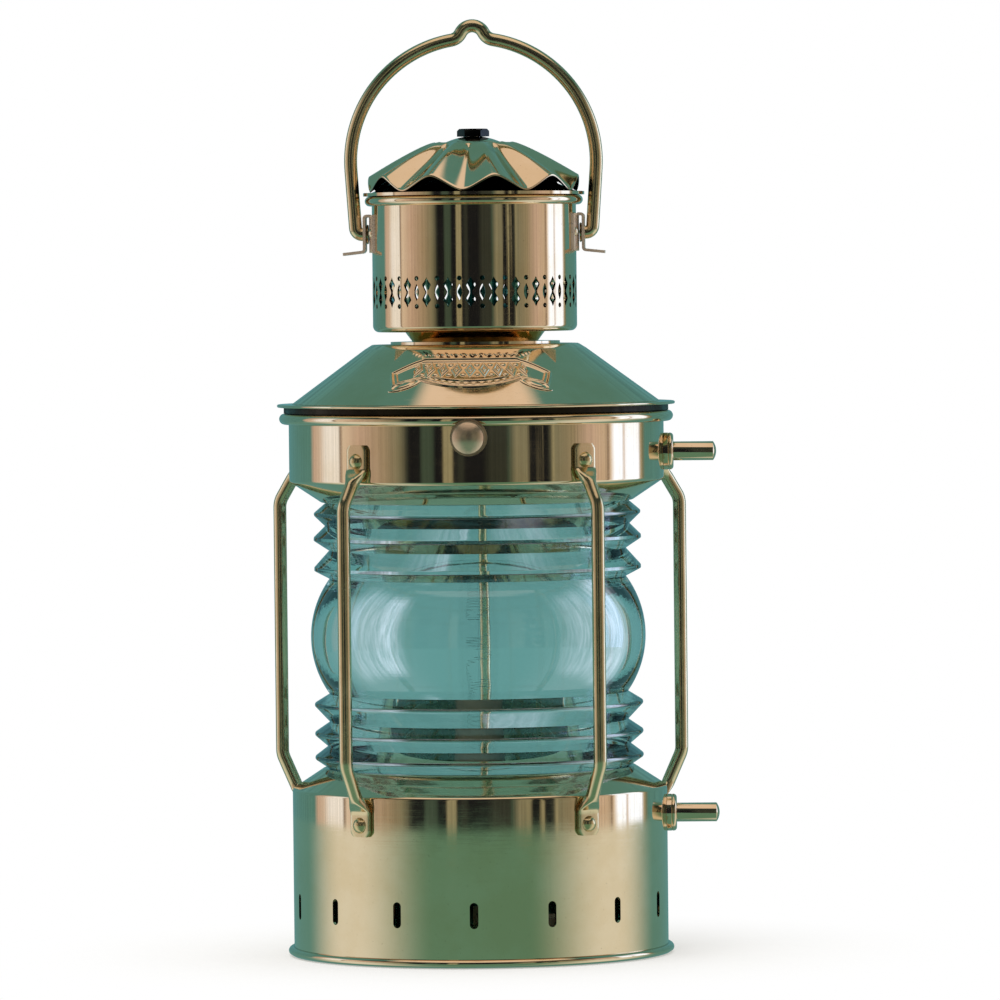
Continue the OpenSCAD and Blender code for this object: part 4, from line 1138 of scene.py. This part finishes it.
def wall_colour(g, degrees, height):
    """Wall colour by angle and height, with upright streaks and a patch of light clouds."""
    wall = g.mix(g.math("GREATER_THAN", degrees, float(MIDDLE)), ramp(g, degrees, -180, 180, WALL_LEFT),
                 ramp(g, degrees, 0, 180, WALL_RIGHT))
    streak = g.noise(g.add("CombineXYZ", {0: g.math("MULTIPLY", degrees, 0.9), 1: height}), 1, 3, 0.7)
    shade = g.step(streak, 0.35, 0.65, 0.72, 1.12)
    wall = g.add("VectorMath", {0: wall, 3: shade}, operation="SCALE")
    cloud = g.noise(g.add("CombineXYZ", {0: g.math("MULTIPLY", degrees, 0.22),
                                         1: g.math("MULTIPLY", height, 14.0)}), 1, 4, 0.65)
    patch = g.math("MULTIPLY", g.band(degrees, 22.0, 30.0, 42.0, 47.0), g.step(cloud, 0.5, 0.62))
    return g.mix(patch, wall, GOLD)


def build_world():
    """White to the camera, teal through the glass, the studio in reflections, soft light elsewhere."""
    world = bpy.data.worlds.new("studio")
    world.use_nodes = True
    bpy.context.scene.world = world
    g = Graph(world.node_tree)
    direction = g.add("TexCoord")
    height = g.add("SeparateXYZ", {0: direction}, out=2)
    degrees = facing_angle(g, direction)
    wall = wall_colour(g, degrees, height)
    front = g.step(g.math("ABSOLUTE", degrees), 100.0, 75.0)
    lamp_reach = g.math("ADD", height, g.math("MULTIPLY", front, 0.13))
    slope = g.mix(front, CEILING_SIDE, CEILING_FRONT)
    ceiling = g.mix(g.step(lamp_reach, 0.885, 0.925), slope, CEILING_LAMP)
    upper = g.mix(g.step(height, 0.35, 0.62), wall, ceiling)
    reflected = g.mix(g.step(height, -0.2, -0.4), upper, BELOW)
    ray = g.add("LightPath").node.outputs
    soft = g.mix(g.step(height, -0.3, 0.6), SOFT_LOW, SOFT_HIGH)
    colour = g.mix(ray["Is Glossy Ray"], soft, reflected)
    colour = g.mix(ray["Is Transmission Ray"], colour, BEHIND_GLASS)
    colour = g.mix(ray["Is Camera Ray"], colour, PAPER)
    g.output(g.add("Background", {"Color": colour, "Strength": 1.0}))


def build_floor():
    """Pale floor: white to the camera with a soft contact shadow, a lit table in reflections."""
    size = 12.0
    gap = 0.4 * MM
    table_r = (0.79, 0.84)
    shadow_r = (0.06, 0.2)
    mesh = bpy.data.meshes.new("floor")
    mesh.from_pydata([(-size, -size, 0), (size, -size, 0), (size, size, 0), (-size, size, 0)], [],
                     [(0, 1, 2, 3)])
    floor = bpy.data.objects.new("floor", mesh)
    bpy.context.scene.collection.objects.link(floor)
    floor.location.z = -gap
    material, g = new_material("floor")
    place = g.add("NewGeometry").node.outputs
    far = g.from_axis(g.add("SeparateXYZ", {0: place[0]}).node.outputs)
    paint = g.mix(g.noise(place[0], 60, 3), (0.86, 0.86, 0.85), (0.9, 0.9, 0.89))
    matte = g.add("BsdfDiffuse", {"Color": paint})
    white = g.add("Emission", {"Color": PAPER, "Strength": 1.0})
    pale = g.add("MixShader", {0: g.step(far, *shadow_r, 0.35, 1.0), 1: matte, 2: white})
    incoming = g.add("VectorMath", {0: place[4], 1: (-1.0, -1.0, -1.0)}, operation="MULTIPLY")
    turn = g.math("ABSOLUTE", facing_angle(g, incoming))
    table = g.mix(g.step(turn, 28.0, 84.0), TABLE_FRONT, TABLE_SIDE)
    table = g.mix(g.step(turn, 94.0, 134.0), table, TABLE_BACK)
    lit = g.add("Emission", {"Color": table, "Strength": 1.0})
    shown = g.add("MixShader", {0: g.step(far, *table_r), 1: lit, 2: g.add("BsdfTransparent")})
    ray = g.add("LightPath").node.outputs
    seen = g.add("MixShader", {0: ray["Is Glossy Ray"], 1: pale, 2: shown})
    teal = g.add("Emission", {"Color": BEHIND_GLASS, "Strength": 1.0})
    g.output(g.add("MixShader", {0: ray["Is Transmission Ray"], 1: seen, 2: teal}))
    mesh.materials.append(material)


def build_light():
    """One soft round lamp, up and to the left of the viewer; it isn't seen in reflections."""
    lamp = bpy.data.lights.new("softbox", "AREA")
    lamp.shape = "DISK"
    lamp.size = 1.2
    lamp.energy = 9
    box = bpy.data.objects.new("softbox", lamp)
    bpy.context.scene.collection.objects.link(box)
    box.location = (-0.5, -0.9, 1.6)
    aim = Vector((0, 0, 0.15))
    box.rotation_euler = (aim - box.location).to_track_quat("-Z", "Y").to_euler()
    box.visible_glossy = False
    box.visible_camera = False
    box.visible_transmission = False


def build_camera():
    """A long lens, a little above the lens belt, from two degrees right of the front."""
    turn = math.radians(2)
    distance = 3.05
    aim_z = 0.1765
    aim_right = 0.009
    rise = 0.0855
    roll = math.radians(-0.6)
    data = bpy.data.cameras.new("camera")
    data.sensor_width = 36
    data.lens = 281.5
    camera = bpy.data.objects.new("camera", data)
    bpy.context.scene.collection.objects.link(camera)
    across = Vector((math.cos(turn), math.sin(turn), 0))
    back = Vector((math.sin(turn), -math.cos(turn), 0))
    aim = across * aim_right + Vector((0, 0, aim_z))
    camera.location = aim + back * distance + Vector((0, 0, rise))
    look = (aim - camera.location).to_track_quat("-Z", "Y").to_matrix().to_4x4()
    turned_look = look @ Matrix.Rotation(roll, 4, "Z")
    camera.matrix_world = Matrix.Translation(camera.location) @ turned_look
    bpy.context.scene.camera = camera


build_world()
build_floor()
build_light()
build_camera()

scene = bpy.context.scene
scene.view_settings.view_transform = "Standard"
scene.cycles.use_denoising = True
scene.cycles.max_bounces = 16
scene.cycles.transmission_bounces = 14
scene.cycles.glossy_bounces = 6
scene.cycles.transparent_max_bounces = 16
scene.cycles.sample_clamp_indirect = 6
